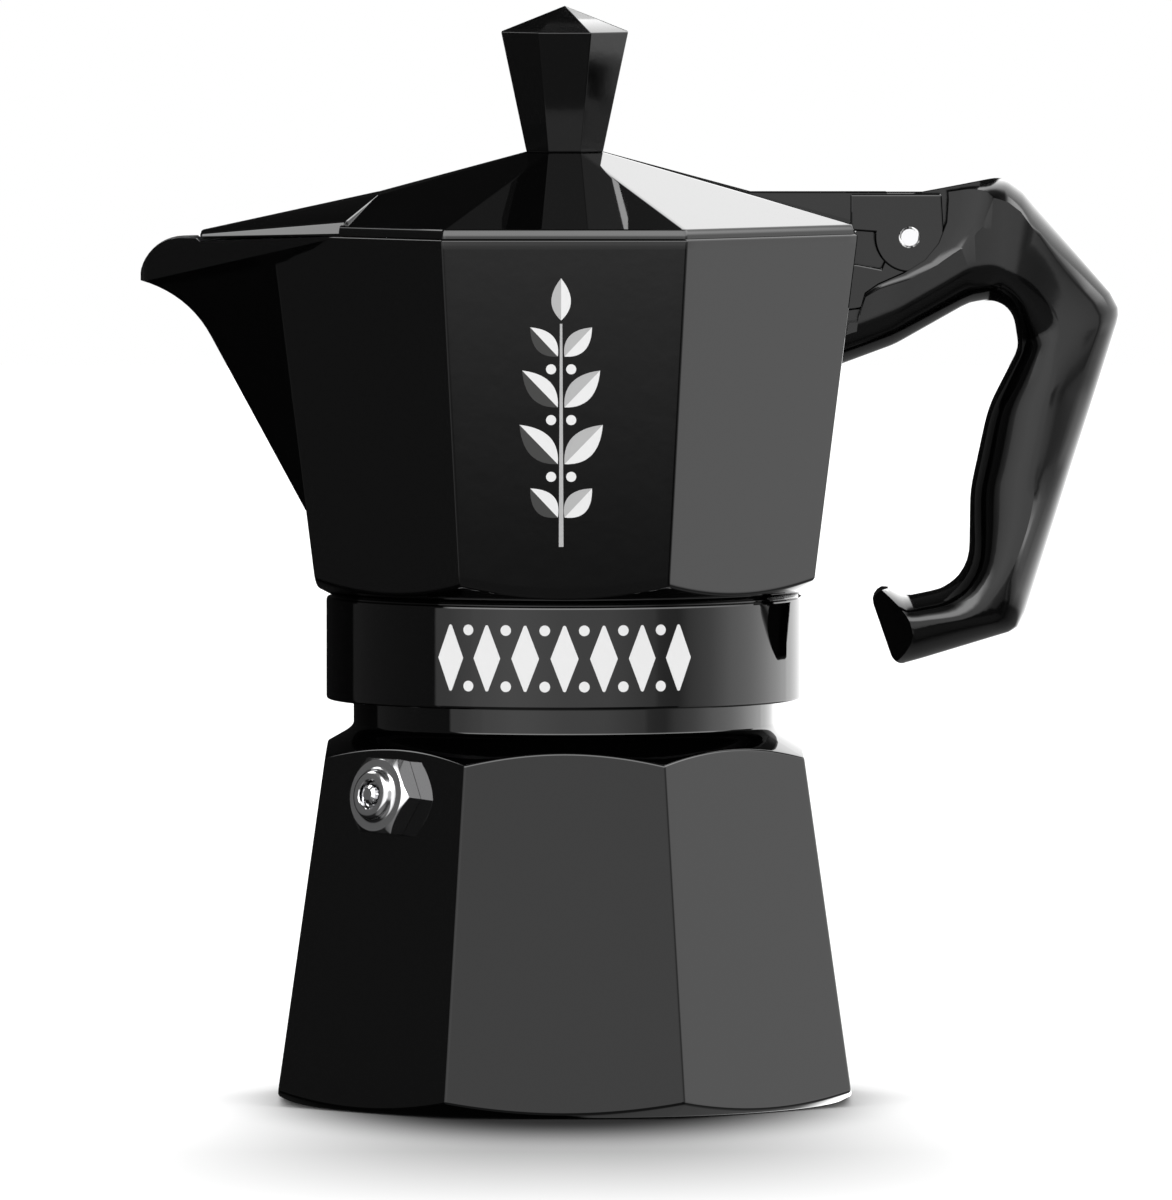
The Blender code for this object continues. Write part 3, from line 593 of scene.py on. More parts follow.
def make_collector():
    columns = [collector_column(sample) for sample in samples(20, 5)]
    body = skin("collector_casting", columns, looped=True)
    lip = rounded(
        [
            (60, RIM),
            (-33.5, RIM),
            (BEAK_END, UNDER_BEAK),
            (BEAK_END - 0.5, LIP_TOP),
            (LIP_END, LIP_TOP, LIP_NOSE),
            (LIP_END, 120),
            (-72, 120),
            (-72, 140),
            (60, 140),
        ],
        parts=12,
    )
    boolean(body, "UNION", loft("spout", spout_sections(0, 0, 0, ABOVE_RIM, (0.8, 3.0))))
    channel = loft("spout_channel", spout_sections(3.4, 1.5, 1.7, ABOVE_RIM + 2, (0.6, 1.8)))
    boolean(body, "DIFFERENCE", channel, plate("rim_cutter", lip, -60, 60))
    outline = [(41.9, 126.2), (44.0, 126.2), (47.6, 125.5), (48.4, 127.4)]
    outline += arc(PIN_X, PIN_Z, 4.5, 180, -60)
    outline += [(50.5, 123.6), (44.5, 119.4), (41.3, 119.0)]
    lugs = [plate(f"lug_{side}", outline, side * LUG[0], side * LUG[1]) for side in (-1, 1)]
    for lug in lugs:
        soften(lug, 0.3, 60)
    boolean(body, "UNION", *lugs)
    boolean(body, "DIFFERENCE", rod("lug_hole", PIN_HOLE, (PIN_X, -6, PIN_Z), (PIN_X, 6, PIN_Z)))
    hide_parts("collector")
    finish(body, "collector", "black_enamel", ENAMEL, CAST_INSIDE, sharp=7)
    line(body, in_collector)
    thread = ridge("collector_thread", FEMALE_ROOT, FEMALE_CREST, THREAD_START + PITCH / 2)
    finish(thread, "collector", "black_enamel", CAST_INSIDE)


# Prints. They are generic: a coffee sprig on the collector's front and lozenges round its collar.

PRINT_LIFT = 0.1
PRINT_DEPTH = 0.12
SPRIG_X = -0.5
LEAF_PAIRS = ((89.5, 4.6, 3.4), (97.5, 6.2, 3.9), (106.0, 5.8, 3.6), (113.6, 4.6, 3.1))
BERRY_RADIUS = 0.75
BAND_MIDDLE = 68.25
LOZENGES = 7
LOZENGE_STEP = 5.9
LOZENGE_HALF = 5.4
LOZENGE_HALF_WIDTH = 2.1
DOT_RISE = 4.2
DOT_RADIUS = 0.8


def print_shape(name, places, outside, material):
    """A thin raised shape: (u, z) points placed by outside(u, z, lift) on the metal."""
    columns = [[outside(u, z, lift) for lift in (-PRINT_DEPTH, PRINT_LIFT)] for u, z in places]
    made = skin(name, columns, caps=True)
    return finish(made, "collector", None, material, sharp=30)


def on_front(u, z, lift):
    return (u, -collector_apothem(z) - lift, z)


def on_collar(u, z, lift):
    reach = COLLAR_RADIUS + lift
    return (reach * sin(u / COLLAR_RADIUS), -reach * cos(u / COLLAR_RADIUS), z)


def leaf(root_x, root_z, tip_x, tip_z, width, side):
    """One half of a pointed leaf, on the given side of its midrib."""
    root, tip = Vector((root_x, root_z)), Vector((tip_x, tip_z))
    across = Vector((root.y - tip.y, tip.x - root.x)).normalized() * width / 2 * side
    belly = root.lerp(tip, 0.42) + across * 2
    curve = curve_points(tuple(root), tuple(belly), tuple(tip), 14)
    return curve if side < 0 else curve[::-1]


def make_emblem():
    stem = [(-0.35, 85.1), (0.35, 85.1), (0.18, 118.5), (-0.18, 118.5)]
    print_shape("sprig_stem", [(SPRIG_X + x, z) for x, z in stem], on_front, PRINT_PALE)
    count = 0
    for root_z, reach, width in LEAF_PAIRS:
        for hand in (-1, 1):
            root = (SPRIG_X + hand * 0.5, root_z)
            tip = (SPRIG_X + hand * reach, root_z + reach * 0.95)
            for side in (-1, 1):
                count += 1
                shade = (side + 1) // 2 + (hand < 0 and side > 0)
                material = (PRINT_WHITE, PRINT_PALE, PRINT_GREY)[shade]
                outline = leaf(*root, *tip, width, side)
                print_shape(f"sprig_leaf_{count}", outline, on_front, material)
    for side, material in ((-1, PRINT_WHITE), (1, PRINT_PALE)):
        count += 1
        outline = leaf(SPRIG_X, 119.0, SPRIG_X, 125.3, 2.9, side)
        print_shape(f"sprig_leaf_{count}", outline, on_front, material)
    for k, (root_z, _, _) in enumerate(LEAF_PAIRS[1:]):
        for hand in (-1, 1):
            berry = arc(SPRIG_X + hand * 1.5, root_z - 1.9, BERRY_RADIUS, 0, 348, 12)
            print_shape(f"sprig_berry_{2 * k + (hand + 3) // 2}", berry, on_front, PRINT_WHITE)


def make_collar_band():
    for k in range(LOZENGES):
        middle = (k - (LOZENGES - 1) / 2) * LOZENGE_STEP
        right, left = middle + LOZENGE_HALF_WIDTH, middle - LOZENGE_HALF_WIDTH
        corners = [(middle, BAND_MIDDLE - LOZENGE_HALF), (right, BAND_MIDDLE)]
        corners += [(middle, BAND_MIDDLE + LOZENGE_HALF), (left, BAND_MIDDLE)]
        outline = rounded([(u, z, 0.25) for u, z in corners], 4)
        print_shape(f"lozenge_{k + 1}", outline, on_collar, PRINT_WHITE)
        if k == LOZENGES - 1:
            continue
        for row, z in enumerate((BAND_MIDDLE - DOT_RISE, BAND_MIDDLE + DOT_RISE)):
            dot = arc(middle + LOZENGE_STEP / 2, z, DOT_RADIUS, 0, 348, 12)
            print_shape(f"dot_{k + 1}_{row + 1}", dot, on_collar, PRINT_WHITE)


# Handle.

HOOK_BEND = (51.4, 75.9)
HOOK_TIP = (44.9, 79.6)
HOOK_END = (49.85, 65.31)
# Stations round the grip, from its root at the collector to the tip of its hook: the finger side's
# x, z and fillet, the back's x, z and fillet, the width of the rounding on the finger side, the half
# thickness there and at the crease before the back edge, and that edge's width.
HANDLE_STATIONS = [
    (41.3, 110.7, 0, 46.6, 134.8, 0, 6.5, 7.6, 9.0, 0.8),
    (50.0, 113.9, 12, 53.2, 136.8, 1, 6.5, 7.9, 9.2, 0.8),
    (61.0, 120.1, 6, 60.0, 138.1, 1, 6.0, 8.2, 9.2, 1.4),
    (67.3, 121.2, 4, 67.13, 139.53, 5, 6.0, 8.3, 9.0, 3.2),
    (68.5, 113.5, 4, 84.15, 119.7, 4.5, 7.2, 6.4, 5.2, 3.5),
    (63.9, 104.5, 20, 80.6, 108.4, 1, 9.7, 7.2, 5.3, 3.4),
    (61.2, 92.0, 20, 76.6, 95.8, 1, 9.8, 7.8, 6.4, 3.2),
    (61.0, 77.9, 7, 68.79, 70.89, 3.5, 6.0, 8.4, 7.9, 3.4),
    (*HOOK_BEND, 3, 54.0, 66.43, 1, 4.2, 8.7, 8.5, 4.2),
    (*HOOK_TIP, 0, *HOOK_END, 0, 4.0, 8.7, 8.6, 4.6),
]
HEAD_TOP = 141.0
SLOT_RADIUS = 8.4
FILLET_PARTS = 8
SPAN_PARTS = 10
FINGER_PARTS = 12
# The wedges that narrow the hook's tip, as (inwards, sideways) corners, and the rounding of its ends.
TIP_CUT = ((-2.0, 1.6), (6.0, 10.6), (-2.0, 10.6))
TIP_FILLETS = (
    (HOOK_BEND, (*HOOK_TIP, 2.0), HOOK_END),
    (HOOK_TIP, (*HOOK_END, 2.2), (60.0, 68.25)),
)
TONGUE_OUTLINE = [
    (41.3, 110.7),
    (43.9, 131.0, 2.5),
    (46.6, 134.8, 3.0),
    (52.0, 134.8),
    (52.0, 121.0),
    (43.5, 114.5),
]
# The recess in the head's cheeks: (floor corner, brow corner) pairs, and the curve of the wall between
# them as (share of the way to the brow, depth) points.
CHEEK_EDGE = [
    ((40.0, HEAD_TOP), (40.0, HEAD_TOP)),
    ((57.3, HEAD_TOP), (64.5, HEAD_TOP)),
    ((57.6, 136.0), (64.4, 136.0)),
    ((57.4, 132.6), (63.4, 132.0)),
    ((56.2, 129.4), (60.6, 128.6)),
    ((54.2, 126.9), (56.6, 125.9)),
    ((51.0, 124.9), (52.2, 123.6)),
    ((47.2, 123.2), (47.6, 122.2)),
    ((45.2, 121.8), (45.4, 120.9)),
    ((44.2, 118.2), (44.4, 117.5)),
    ((43.2, 110.0), (43.6, 110.0)),
    ((40.0, 110.0), (40.0, 110.0)),
]
CHEEK_CURVE = [
    (0.0, 1.3),
    (0.03, 1.0),
    (0.3, 0.95),
    (0.55, 0.75),
    (0.75, 0.45),
    (0.9, 0.1),
    (1.0, -0.3),
    (1.06, -0.8),
]


def filleted(corners):
    """The open path through (x, z, fillet) corners, with as many points for each of them."""
    ends = [corners[0][:2]] + list(corners[1:-1]) + [corners[-1][:2]]
    path = rounded(ends, FILLET_PARTS)
    first, last = path[0], path[-1]
    return [first] * FILLET_PARTS + path + [last] * FILLET_PARTS


def evenly(path, count):
    """Points at equal steps along a path."""
    lengths = [(b - a).length for a, b in zip(path, path[1:])]
    points = []
    for k in range(count):
        left = sum(lengths) * k / count
        for start, end, length in zip(path, path[1:], lengths):
            if left <= length and length:
                break
            left -= length
        points.append(start.lerp(end, min(1, left / length)))
    return points


def grip_section(front, back, finger, crest, crease, edge):
    """A closed section: rounded finger side, slanted sides up to a crease, and rounded back edge."""
    length = (back - front).length
    half = []
    for k in range(FINGER_PARTS + 1):
        turn = pi / 2 * k / FINGER_PARTS
        half.append((finger * (1 - cos(turn)), crest * sin(turn)))
    half.append(((finger + length - edge) / 2, (crest + crease) / 2))
    bend = (length, max(crease - 0.6 * edge, 0.3 * crease))
    half += curve_points((length - edge, crease), bend, (length, 0), 8)
    across = (back - front).normalized()
    ring = []
    for u, y in half:
        x, z = front + across * u
        ring.append((x, -y, z))
    return ring + [(x, -y, z) for x, y, z in reversed(ring[1:-1])]


def grip():
    """The grip as a loft from station to station."""
    fronts = filleted([station[0:3] for station in HANDLE_STATIONS])
    backs = filleted([station[3:6] for station in HANDLE_STATIONS])
    step = FILLET_PARTS + 1
    middle = FILLET_PARTS // 2
    sections = []
    for i, (here, there) in enumerate(zip(HANDLE_STATIONS, HANDLE_STATIONS[1:])):
        low, high = i * step + middle, (i + 1) * step + middle + 1
        pairs = zip(evenly(fronts[low:high], SPAN_PARTS), evenly(backs[low:high], SPAN_PARTS))
        for k, (front, back) in enumerate(pairs):
            t = k / SPAN_PARTS
            t = t * t * (3 - 2 * t)
            shape = [a + (b - a) * t for a, b in zip(here[6:], there[6:])]
            sections.append(grip_section(front, back, *shape))
    sections.append(grip_section(fronts[-1], backs[-1], *HANDLE_STATIONS[-1][6:]))
    return loft("handle_moulding", sections)


def make_handle():
    handle = grip()
    tip, end = Vector(HOOK_TIP), Vector(HOOK_END)
    down = (end - tip).normalized()
    inwards = Vector((-down.y, down.x))
    for side in (-1, 1):
        wedge = []
        for reach in (-4, 19):
            for u, y in TIP_CUT:
                x, z = tip + down * reach + inwards * u
                wedge.append((x, side * y, z))
        boolean(handle, "DIFFERENCE", hull("tip_cut", wedge))
    for corners in TIP_FILLETS:
        bend = rounded(corners)[1:-1]
        beyond = Vector(corners[1][:2]) * 2 - (bend[0] + bend[-1]) / 2
        boolean(handle, "DIFFERENCE", plate("tip_fillet", bend + [beyond], -10, 10))
    tongue = plate("tongue", rounded(TONGUE_OUTLINE), -TONGUE_HALF - 1, TONGUE_HALF + 1)
    boolean(handle, "UNION", tongue)
    slot = [(40.0, HEAD_TOP), (63.3, HEAD_TOP), (PIN_X + SLOT_RADIUS, PIN_Z)]
    slot += arc(PIN_X, PIN_Z, SLOT_RADIUS, 0, -105)[1:]
    slot += [(47.0, 119.0), (44.4, 117.5), (40.0, 117.3)]
    for side in (-1, 1):
        gap = plate("hinge_slot", slot, side * TONGUE_HALF, side * SLOT_DEPTH)
        recess = []
        for share, depth in CHEEK_CURVE:
            outline = [Vector(low).lerp(Vector(high), share) for low, high in CHEEK_EDGE]
            recess.append([(x, side * (HANDLE_HALF - depth), z) for x, z in outline])
        boolean(handle, "DIFFERENCE", gap, loft("cheek", recess))
    boolean(handle, "DIFFERENCE", rod("tongue_hole", PIN_HOLE, (PIN_X, -4, PIN_Z), (PIN_X, 4, PIN_Z)))
    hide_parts("handle")
    finish(handle, "collector", "black_plastic", PLASTIC)


# Lid and knob.


def lid_height(apothem):
    """The height of the lid's outside."""
    return LID_TOP - LID_SLOPE * (apothem - LID_TOP_APOTHEM)


def octagon_stations(sample, rows, radius):
    """(point, cut) stations from (apothem, z, cut) rows, whose first and last lie on the axis."""
    path = []
    for apothem, z, cut in rows:
        if apothem:
            point = on_octagon(sample, apothem, z, radius=radius)
        else:
            point = Vector((0, 0, z))
        path.append((point, cut))
    return path


def lid_column(sample):
    """A column from the top's middle, over the edge and back along the underside."""
    inner_edge = LID_APOTHEM - LID_LIP
    under = lid_height(inner_edge) - LID_THICKNESS
    stations = [
        (0, LID_TOP, 0),
        (LID_TOP_APOTHEM, LID_TOP, 0.3),
        (24.0, lid_height(24.0), 0),
        (LID_APOTHEM - 0.45, LID_EDGE_TOP + 0.45 * LID_SLOPE, 0.25),
        (LID_APOTHEM - 0.12, LID_BOTTOM + 0.6, 0.5),
        (LID_APOTHEM, LID_BOTTOM, 0),
        (inner_edge, LID_BOTTOM, 0),
        (inner_edge, under, 0.4),
        (LID_TOP_APOTHEM + 0.8, LID_TOP - LID_CAP, 0),
        (0, LID_TOP - LID_CAP, 0),
    ]
    return eased(octagon_stations(sample, stations, 1.2))


def both_sides(points):
    """The points and their mirror images across the middle plane."""
    return [(x, side * y, z) for x, y, z in points for side in (-1, 1)]


def under_lid(centre, normal):
    """True for the faces inside the lid and its beak, which lies beyond the octagon's fifth side."""
    inside = octagon_reach(centre, (0, 1, 2, 3, 5, 6, 7)) < LID_APOTHEM - 1.5
    return inside and normal.z < -0.3 and centre.x > BEAK_END + 1.4


def make_lid():
    """A hipped octagonal shell with a beak over the spout, a skirt, a rib and two hinge ears."""
    lid = skin("lid_casting", [lid_column(sample) for sample in samples(6, 5)])
    wedge = (BEAK_HIP[:2], (-33.9, 28.2), (-70, 40))
    room = hull("beak_room", both_sides([(x, y, z) for x, y in wedge for z in (125, 150)]))
    corners = [BEAK_HIP, BEAK_SHOULDER, BEAK_HEEL, (BEAK_END, 7.6, 130.1), (BEAK_END, 7.0, 130.9)]
    middle = [BEAK_TIP, (BEAK_BACK, 0, 137.2), (BEAK_BACK, 0, LID_BOTTOM)]
    beak = hull("beak", middle + both_sides(corners))
    soften(beak, 0.45, 12)
    ceiling = [(BEAK_BACK, 0, 135.6), (CHANNEL_END, 0, 129.7)]
    ceiling += both_sides([(-33.0, 26.4, 131.7), (CHANNEL_END, 6.4, 129.4)])
    bottom = [(x, y, CHANNEL_BOTTOM) for x, y, _ in ceiling]
    ceiling += both_sides([(-27.6, 10.6, 135.0)])
    channel = hull("beak_channel", ceiling + bottom)
    rib = plate("rib", [(26.0, 134.0), (26.0, RIB_TOP), (42.4, RIB_TOP), (42.4, 132.0)], -5.4, 5.4)
    inside = skin("lid_hollow", [lid_inside(sample) for sample in samples(2, 3)])
    boolean(lid, "DIFFERENCE", room)
    boolean(lid, "UNION", beak, rib)
    boolean(lid, "DIFFERENCE", inside, channel)
    skirt = skin("skirt", [skirt_column(sample) for sample in samples(2, 3)], looped=True)
    gap = both_sides([(x, 34, z) for x in (-60, -26.5) for z in (128, 140)])
    boolean(skirt, "DIFFERENCE", hull("spout_gap", gap))
    prong = [(42.0, RIB_TOP), (48.5, RIB_TOP)]
    prong += arc(PIN_X, PIN_Z, 4.95, 133, 165)
    prong += [(45.6, 131.6), (42.0, 131.6)]
    ear = [(43.0, RIB_TOP - 0.1), (56.7, RIB_TOP - 0.1)]
    ear += arc(PIN_X, PIN_Z, 5.3, 15, -188)
    ear += [(43.0, 131.3)]
    plates = [skirt]
    for side in (-1, 1):
        plates.append(plate(f"prong_{side}", prong, side * LUG[0], side * (EAR[0] + 0.2)))
        plates.append(plate(f"ear_{side}", ear, side * EAR[0], side * EAR[1]))
        soften(plates[-1], 0.3, 60)
    boolean(lid, "UNION", *plates)
    boolean(lid, "DIFFERENCE", rod("ear_holes", PIN_HOLE, (PIN_X, -9, PIN_Z), (PIN_X, 9, PIN_Z)))
    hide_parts("lid")
    finish(lid, "lid", "black_enamel", ENAMEL, CAST_INSIDE, sharp=8)
    line(lid, under_lid)


def lid_inside(sample):
    """The hollow under the lid, cut again after the beak and the rib are joined."""
    edge = LID_APOTHEM - LID_LIP - 0.1
    under = lid_height(edge) - LID_THICKNESS - 0.05
    top = LID_TOP - LID_CAP - 0.1
    bottom = LID_BOTTOM - 2
    path = [Vector((0, 0, top)), on_octagon(sample, LID_TOP_APOTHEM + 0.8, top)]
    path += [on_octagon(sample, edge, z) for z in (under, bottom)]
    return path + [Vector((0, 0, bottom))]


def skirt_column(sample):
    """The closed section of the skirt that centres the lid in the rim."""
    corners = ((39.8, 132.5), (41.0, 132.2), (41.0, 129.6), (39.8, 129.6))
    return [on_octagon(sample, apothem, z) for apothem, z in corners]


def knob_column(sample):
    """A column from the top's middle down to the bottom's."""
    stations = [
        (0, KNOB_TOP, 0),
        (*KNOB_SHOULDER, 0.15),
        (KNOB_WAIST, KNOB_BOTTOM, 0.35),
        (0, KNOB_BOTTOM, 0),
    ]
    return eased(octagon_stations(sample, stations, 0.3))


def make_knob():
    knob = skin("knob_moulding", [knob_column(sample) for sample in samples(4, 5)])
    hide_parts("knob")
    finish(knob, "lid", "black_plastic", PLASTIC)


# Materials.

GRAIN_DEPTH = 0.0002
WEAR_SCALE = 60
NOISE_RANGE = (0.3, 0.7)


class Graph:
    """Short ways to add and link shader nodes."""

    def __init__(self, tree):
        self.tree = tree
        tree.nodes.clear()

    def node(self, kind, inputs=None, **settings):
        made = self.tree.nodes.new(kind)
        for name, value in settings.items():
            setattr(made, name, value)
        for name, value in (inputs or {}).items():
            self.put(made.inputs[name], value)
        return made

    def put(self, socket, value):
        if isinstance(value, bpy.types.NodeSocket):
            self.tree.links.new(value, socket)
        else:
            socket.default_value = value

    def math(self, operation, *values):
        made = self.node("ShaderNodeMath", operation=operation)
        for socket, value in zip(made.inputs, values):
            self.put(socket, value)
        return made.outputs[0]

    def step(self, value, low, high, start=0.0, end=1.0):
        """A smooth step from start to end as the value goes from low to high."""
        made = self.node(
            "ShaderNodeMapRange",
            {"Value": value, "From Min": low, "From Max": high, "To Min": start, "To Max": end},
            interpolation_type="SMOOTHSTEP",
        )
        return made.outputs[0]

    def band(self, value, low, high, soft):
        """One between low and high, falling to zero over soft on both sides."""
        up = self.step(value, low - soft, low + soft)
        down = self.step(value, high - soft, high + soft, 1.0, 0.0)
        return self.math("MULTIPLY", up, down)

    def ramp(self, value, stops):
        """A level read off (degrees from -180 to 180, level) stops, as a share of the highest."""
        made = self.node("ShaderNodeValToRGB", {"Fac": value})
        elements = made.color_ramp.elements
        elements.remove(elements[1])
        for k, (heading, level) in enumerate(stops):
            place = heading / 360 + 0.5
            stop = elements[0] if k == 0 else elements.new(place)
            stop.position = place
            stop.color = (*[level / STUDIO_PEAK] * 3, 1)
        return made.outputs["Color"]

    def noise(self, scale, detail):
        place = self.node("ShaderNodeTexCoord").outputs["Object"]
        made = self.node("ShaderNodeTexNoise", {"Vector": place, "Scale": scale, "Detail": detail})
        return made.outputs["Fac"]


def surface(name, colour, roughness, metallic=0.0, wear=0.02, grain=600, bump=0.02):
    """A Principled material whose roughness varies a little and whose surface has a fine grain."""
    made = bpy.data.materials.new(name)
    made.use_nodes = True
    graph = Graph(made.node_tree)
    spread = graph.noise(WEAR_SCALE, detail=4)
    fine = graph.noise(grain, detail=3)
    rough = graph.step(spread, *NOISE_RANGE, roughness - wear, roughness + wear)
    relief = graph.node("ShaderNodeBump", {"Height": fine, "Strength": bump, "Distance": GRAIN_DEPTH})
    shader = graph.node(
        "ShaderNodeBsdfPrincipled",
        {
            "Base Color": (*colour, 1),
            "Roughness": rough,
            "Metallic": metallic,
            "Normal": relief.outputs[0],
        },
    )
    graph.node("ShaderNodeOutputMaterial", {"Surface": shader.outputs[0]})
    return made


# Studio.

CAMERA_DISTANCE = 2945.0
CAMERA_PITCH = radians(2.8)
CAMERA_TARGET = Vector((3.2, 0, 75.3))
VIEW_WIDTH = 176.97
SENSOR = 36.0
# The panels round the pot, as seen by glossy surfaces: heading in degrees from the photo's camera
# towards +X, and level.
STUDIO_PEAK = 2.7
STUDIO_RING = [
    (-180, 0.005),
    (-124.5, 0.005),
    (-123.5, 0.1),
    (-66, 0.1),
    (-65, 0.85),
    (-58, 0.9),
    (-45, 1.25),
    (-27, 1.5),
    (-17, 1.45),
    (0, 1.25),
    (22, 1.2),
    (32, 1.0),
    (42, 0.8),
    (50, 0.45),
    (57, 0.42),
    (63, 0.75),
    (75, 1.1),
    (88, 1.75),
    (102, 2.0),
    (119, 2.5),
    (177.5, 2.6),
    (178.5, 0.02),
    (180, 0.005),
]
# Steps of light with elevation, as (low, high, level at low, level at high): the ground within the front
# headings, the ground elsewhere, the top of the ring, and what is added overhead.
FRONT_GROUND = ((-17.1, -15.2, 0.125, 0.7), (-15.2, -8, 0.0, 0.3))
OTHER_GROUND = (-26, -13, 0.1, 1.0)
RING_TOP = (55, 72, 1.0, 0.08)
OVERHEAD = (27, 33, 0.004, 0.04)
# Bands, as (low, high, softness) in degrees: the front headings, and the headings and elevations of a dark
# flag low in front and of light strips high up.
FRONT_HEADINGS = (-65, 58, 1.0)
FLAG = ((11, 40, 4.0), (-30, -7, 2.0))
FLAG_LEVEL = -0.62
STRIPS = (((-64, 100, 3.0), (26, 54, 8.0)), ((-125, -100, 1.5), (33, 50, 2.0)))
STRIP_LEVEL = 4.0
EVEN_LEVEL = 1.5
# Floor, in metres: its half width and how far under the pot it lies, and its tone.
FLOOR_HALF = 3.0
FLOOR_DROP = 0.0001
FLOOR_TONE = 0.97
# The soft shadow painted in front of the pot, in metres: where it fades out, its strength there at first,
# where it sets in, how its half width grows with the distance, that half width at the pot's middle, and
# the share of it that is full.
SHADOW_FADE = (0.105, 0.29)
SHADOW_STRENGTH = 0.62
SHADOW_START = (-0.005, 0.045)
SHADOW_GROWTH = 0.4
SHADOW_HALF = 0.0532
SHADOW_CORE = 0.06
# The painted contact shadow, a darker patch at the pot's foot: its half width, how far it reaches forwards
# and back, where its edge begins and ends, and its level.
CONTACT_SHADOW_HALF = 0.052
CONTACT_SHADOW_FRONT = 0.097
CONTACT_SHADOW_BACK = 0.056
CONTACT_SHADOW_SOFT = (0.5, 1.05)
CONTACT_SHADOW_LEVEL = 0.08


def make_camera():
    camera = bpy.data.objects.new("camera", bpy.data.cameras.new("camera"))
    bpy.context.scene.collection.objects.link(camera)
    forward = Vector((0, cos(CAMERA_PITCH), -sin(CAMERA_PITCH)))
    camera.location = (CAMERA_TARGET - forward * CAMERA_DISTANCE) * MM
    camera.rotation_euler = forward.to_track_quat("-Z", "Y").to_euler()
    camera.data.sensor_fit = "HORIZONTAL"
    camera.data.sensor_width = SENSOR
    camera.data.lens = SENSOR * CAMERA_DISTANCE / VIEW_WIDTH
    camera.data.clip_start = 0.05
    bpy.context.scene.camera = camera


def make_floor():
    """A pale floor painted with a soft shadow in front of the pot and a contact shadow at its foot, fixed
    to its place on the floor.
    """
    mesh = bpy.data.meshes.new("floor")
    corners = [(-1, -1), (1, -1), (1, 1), (-1, 1)]
    mesh.from_pydata([(x * FLOOR_HALF, y * FLOOR_HALF, 0) for x, y in corners], [], [(0, 1, 2, 3)])
    floor = scene_object("floor", mesh)
    floor.location.z = -FLOOR_DROP
    paint = bpy.data.materials.new("floor_white_painted_shadows")
    paint.use_nodes = True
    graph = Graph(paint.node_tree)
    place = graph.node("ShaderNodeTexCoord").outputs["Object"]
    place = graph.node("ShaderNodeSeparateXYZ", {"Vector": place}).outputs
    aside = graph.math("ABSOLUTE", place["X"])
    forward = graph.math("MULTIPLY", place["Y"], -1.0)
    # Painted soft shadow in front of the pot: strongest near it, fading with distance and narrowing
    # sideways.
    start, end = SHADOW_FADE
    fading = graph.node(
        "ShaderNodeMapRange",
        {
            "Value": forward,
            "From Min": start,
            "From Max": end,
            "To Min": SHADOW_STRENGTH,
            "To Max": 0.0,
        },
    )
    soft = graph.math("MULTIPLY", graph.step(forward, *SHADOW_START), fading.outputs[0])
    half_width = graph.math("MULTIPLY_ADD", forward, SHADOW_GROWTH, SHADOW_HALF)
    across = graph.step(graph.math("DIVIDE", aside, half_width), SHADOW_CORE, 1.0, 1.0, 0.0)
    soft = graph.math("MULTIPLY", soft, across)
    # Painted contact shadow: a darker patch in the floor's colour round the pot's foot.
    ahead = graph.math("DIVIDE", forward, CONTACT_SHADOW_FRONT)
    behind = graph.math("DIVIDE", forward, -CONTACT_SHADOW_BACK)
    length = graph.math("POWER", graph.math("MAXIMUM", ahead, behind), 2.0)
    width = graph.math("POWER", graph.math("DIVIDE", aside, CONTACT_SHADOW_HALF), 2.0)
    reach = graph.math("SQRT", graph.math("ADD", width, length))
    contact_shadow = graph.step(reach, *CONTACT_SHADOW_SOFT, CONTACT_SHADOW_LEVEL, 1.0)
    lit = graph.math("MULTIPLY", graph.math("SUBTRACT", 1.0, soft), contact_shadow)
    tone = graph.math("MULTIPLY", lit, FLOOR_TONE)
    colour = graph.node("ShaderNodeCombineXYZ", {"X": tone, "Y": tone, "Z": tone}).outputs[0]
    shader = graph.node("ShaderNodeBsdfDiffuse", {"Color": colour})
    graph.node("ShaderNodeOutputMaterial", {"Surface": shader.outputs[0]})
    mesh.materials.append(paint)
    floor.visible_glossy = False


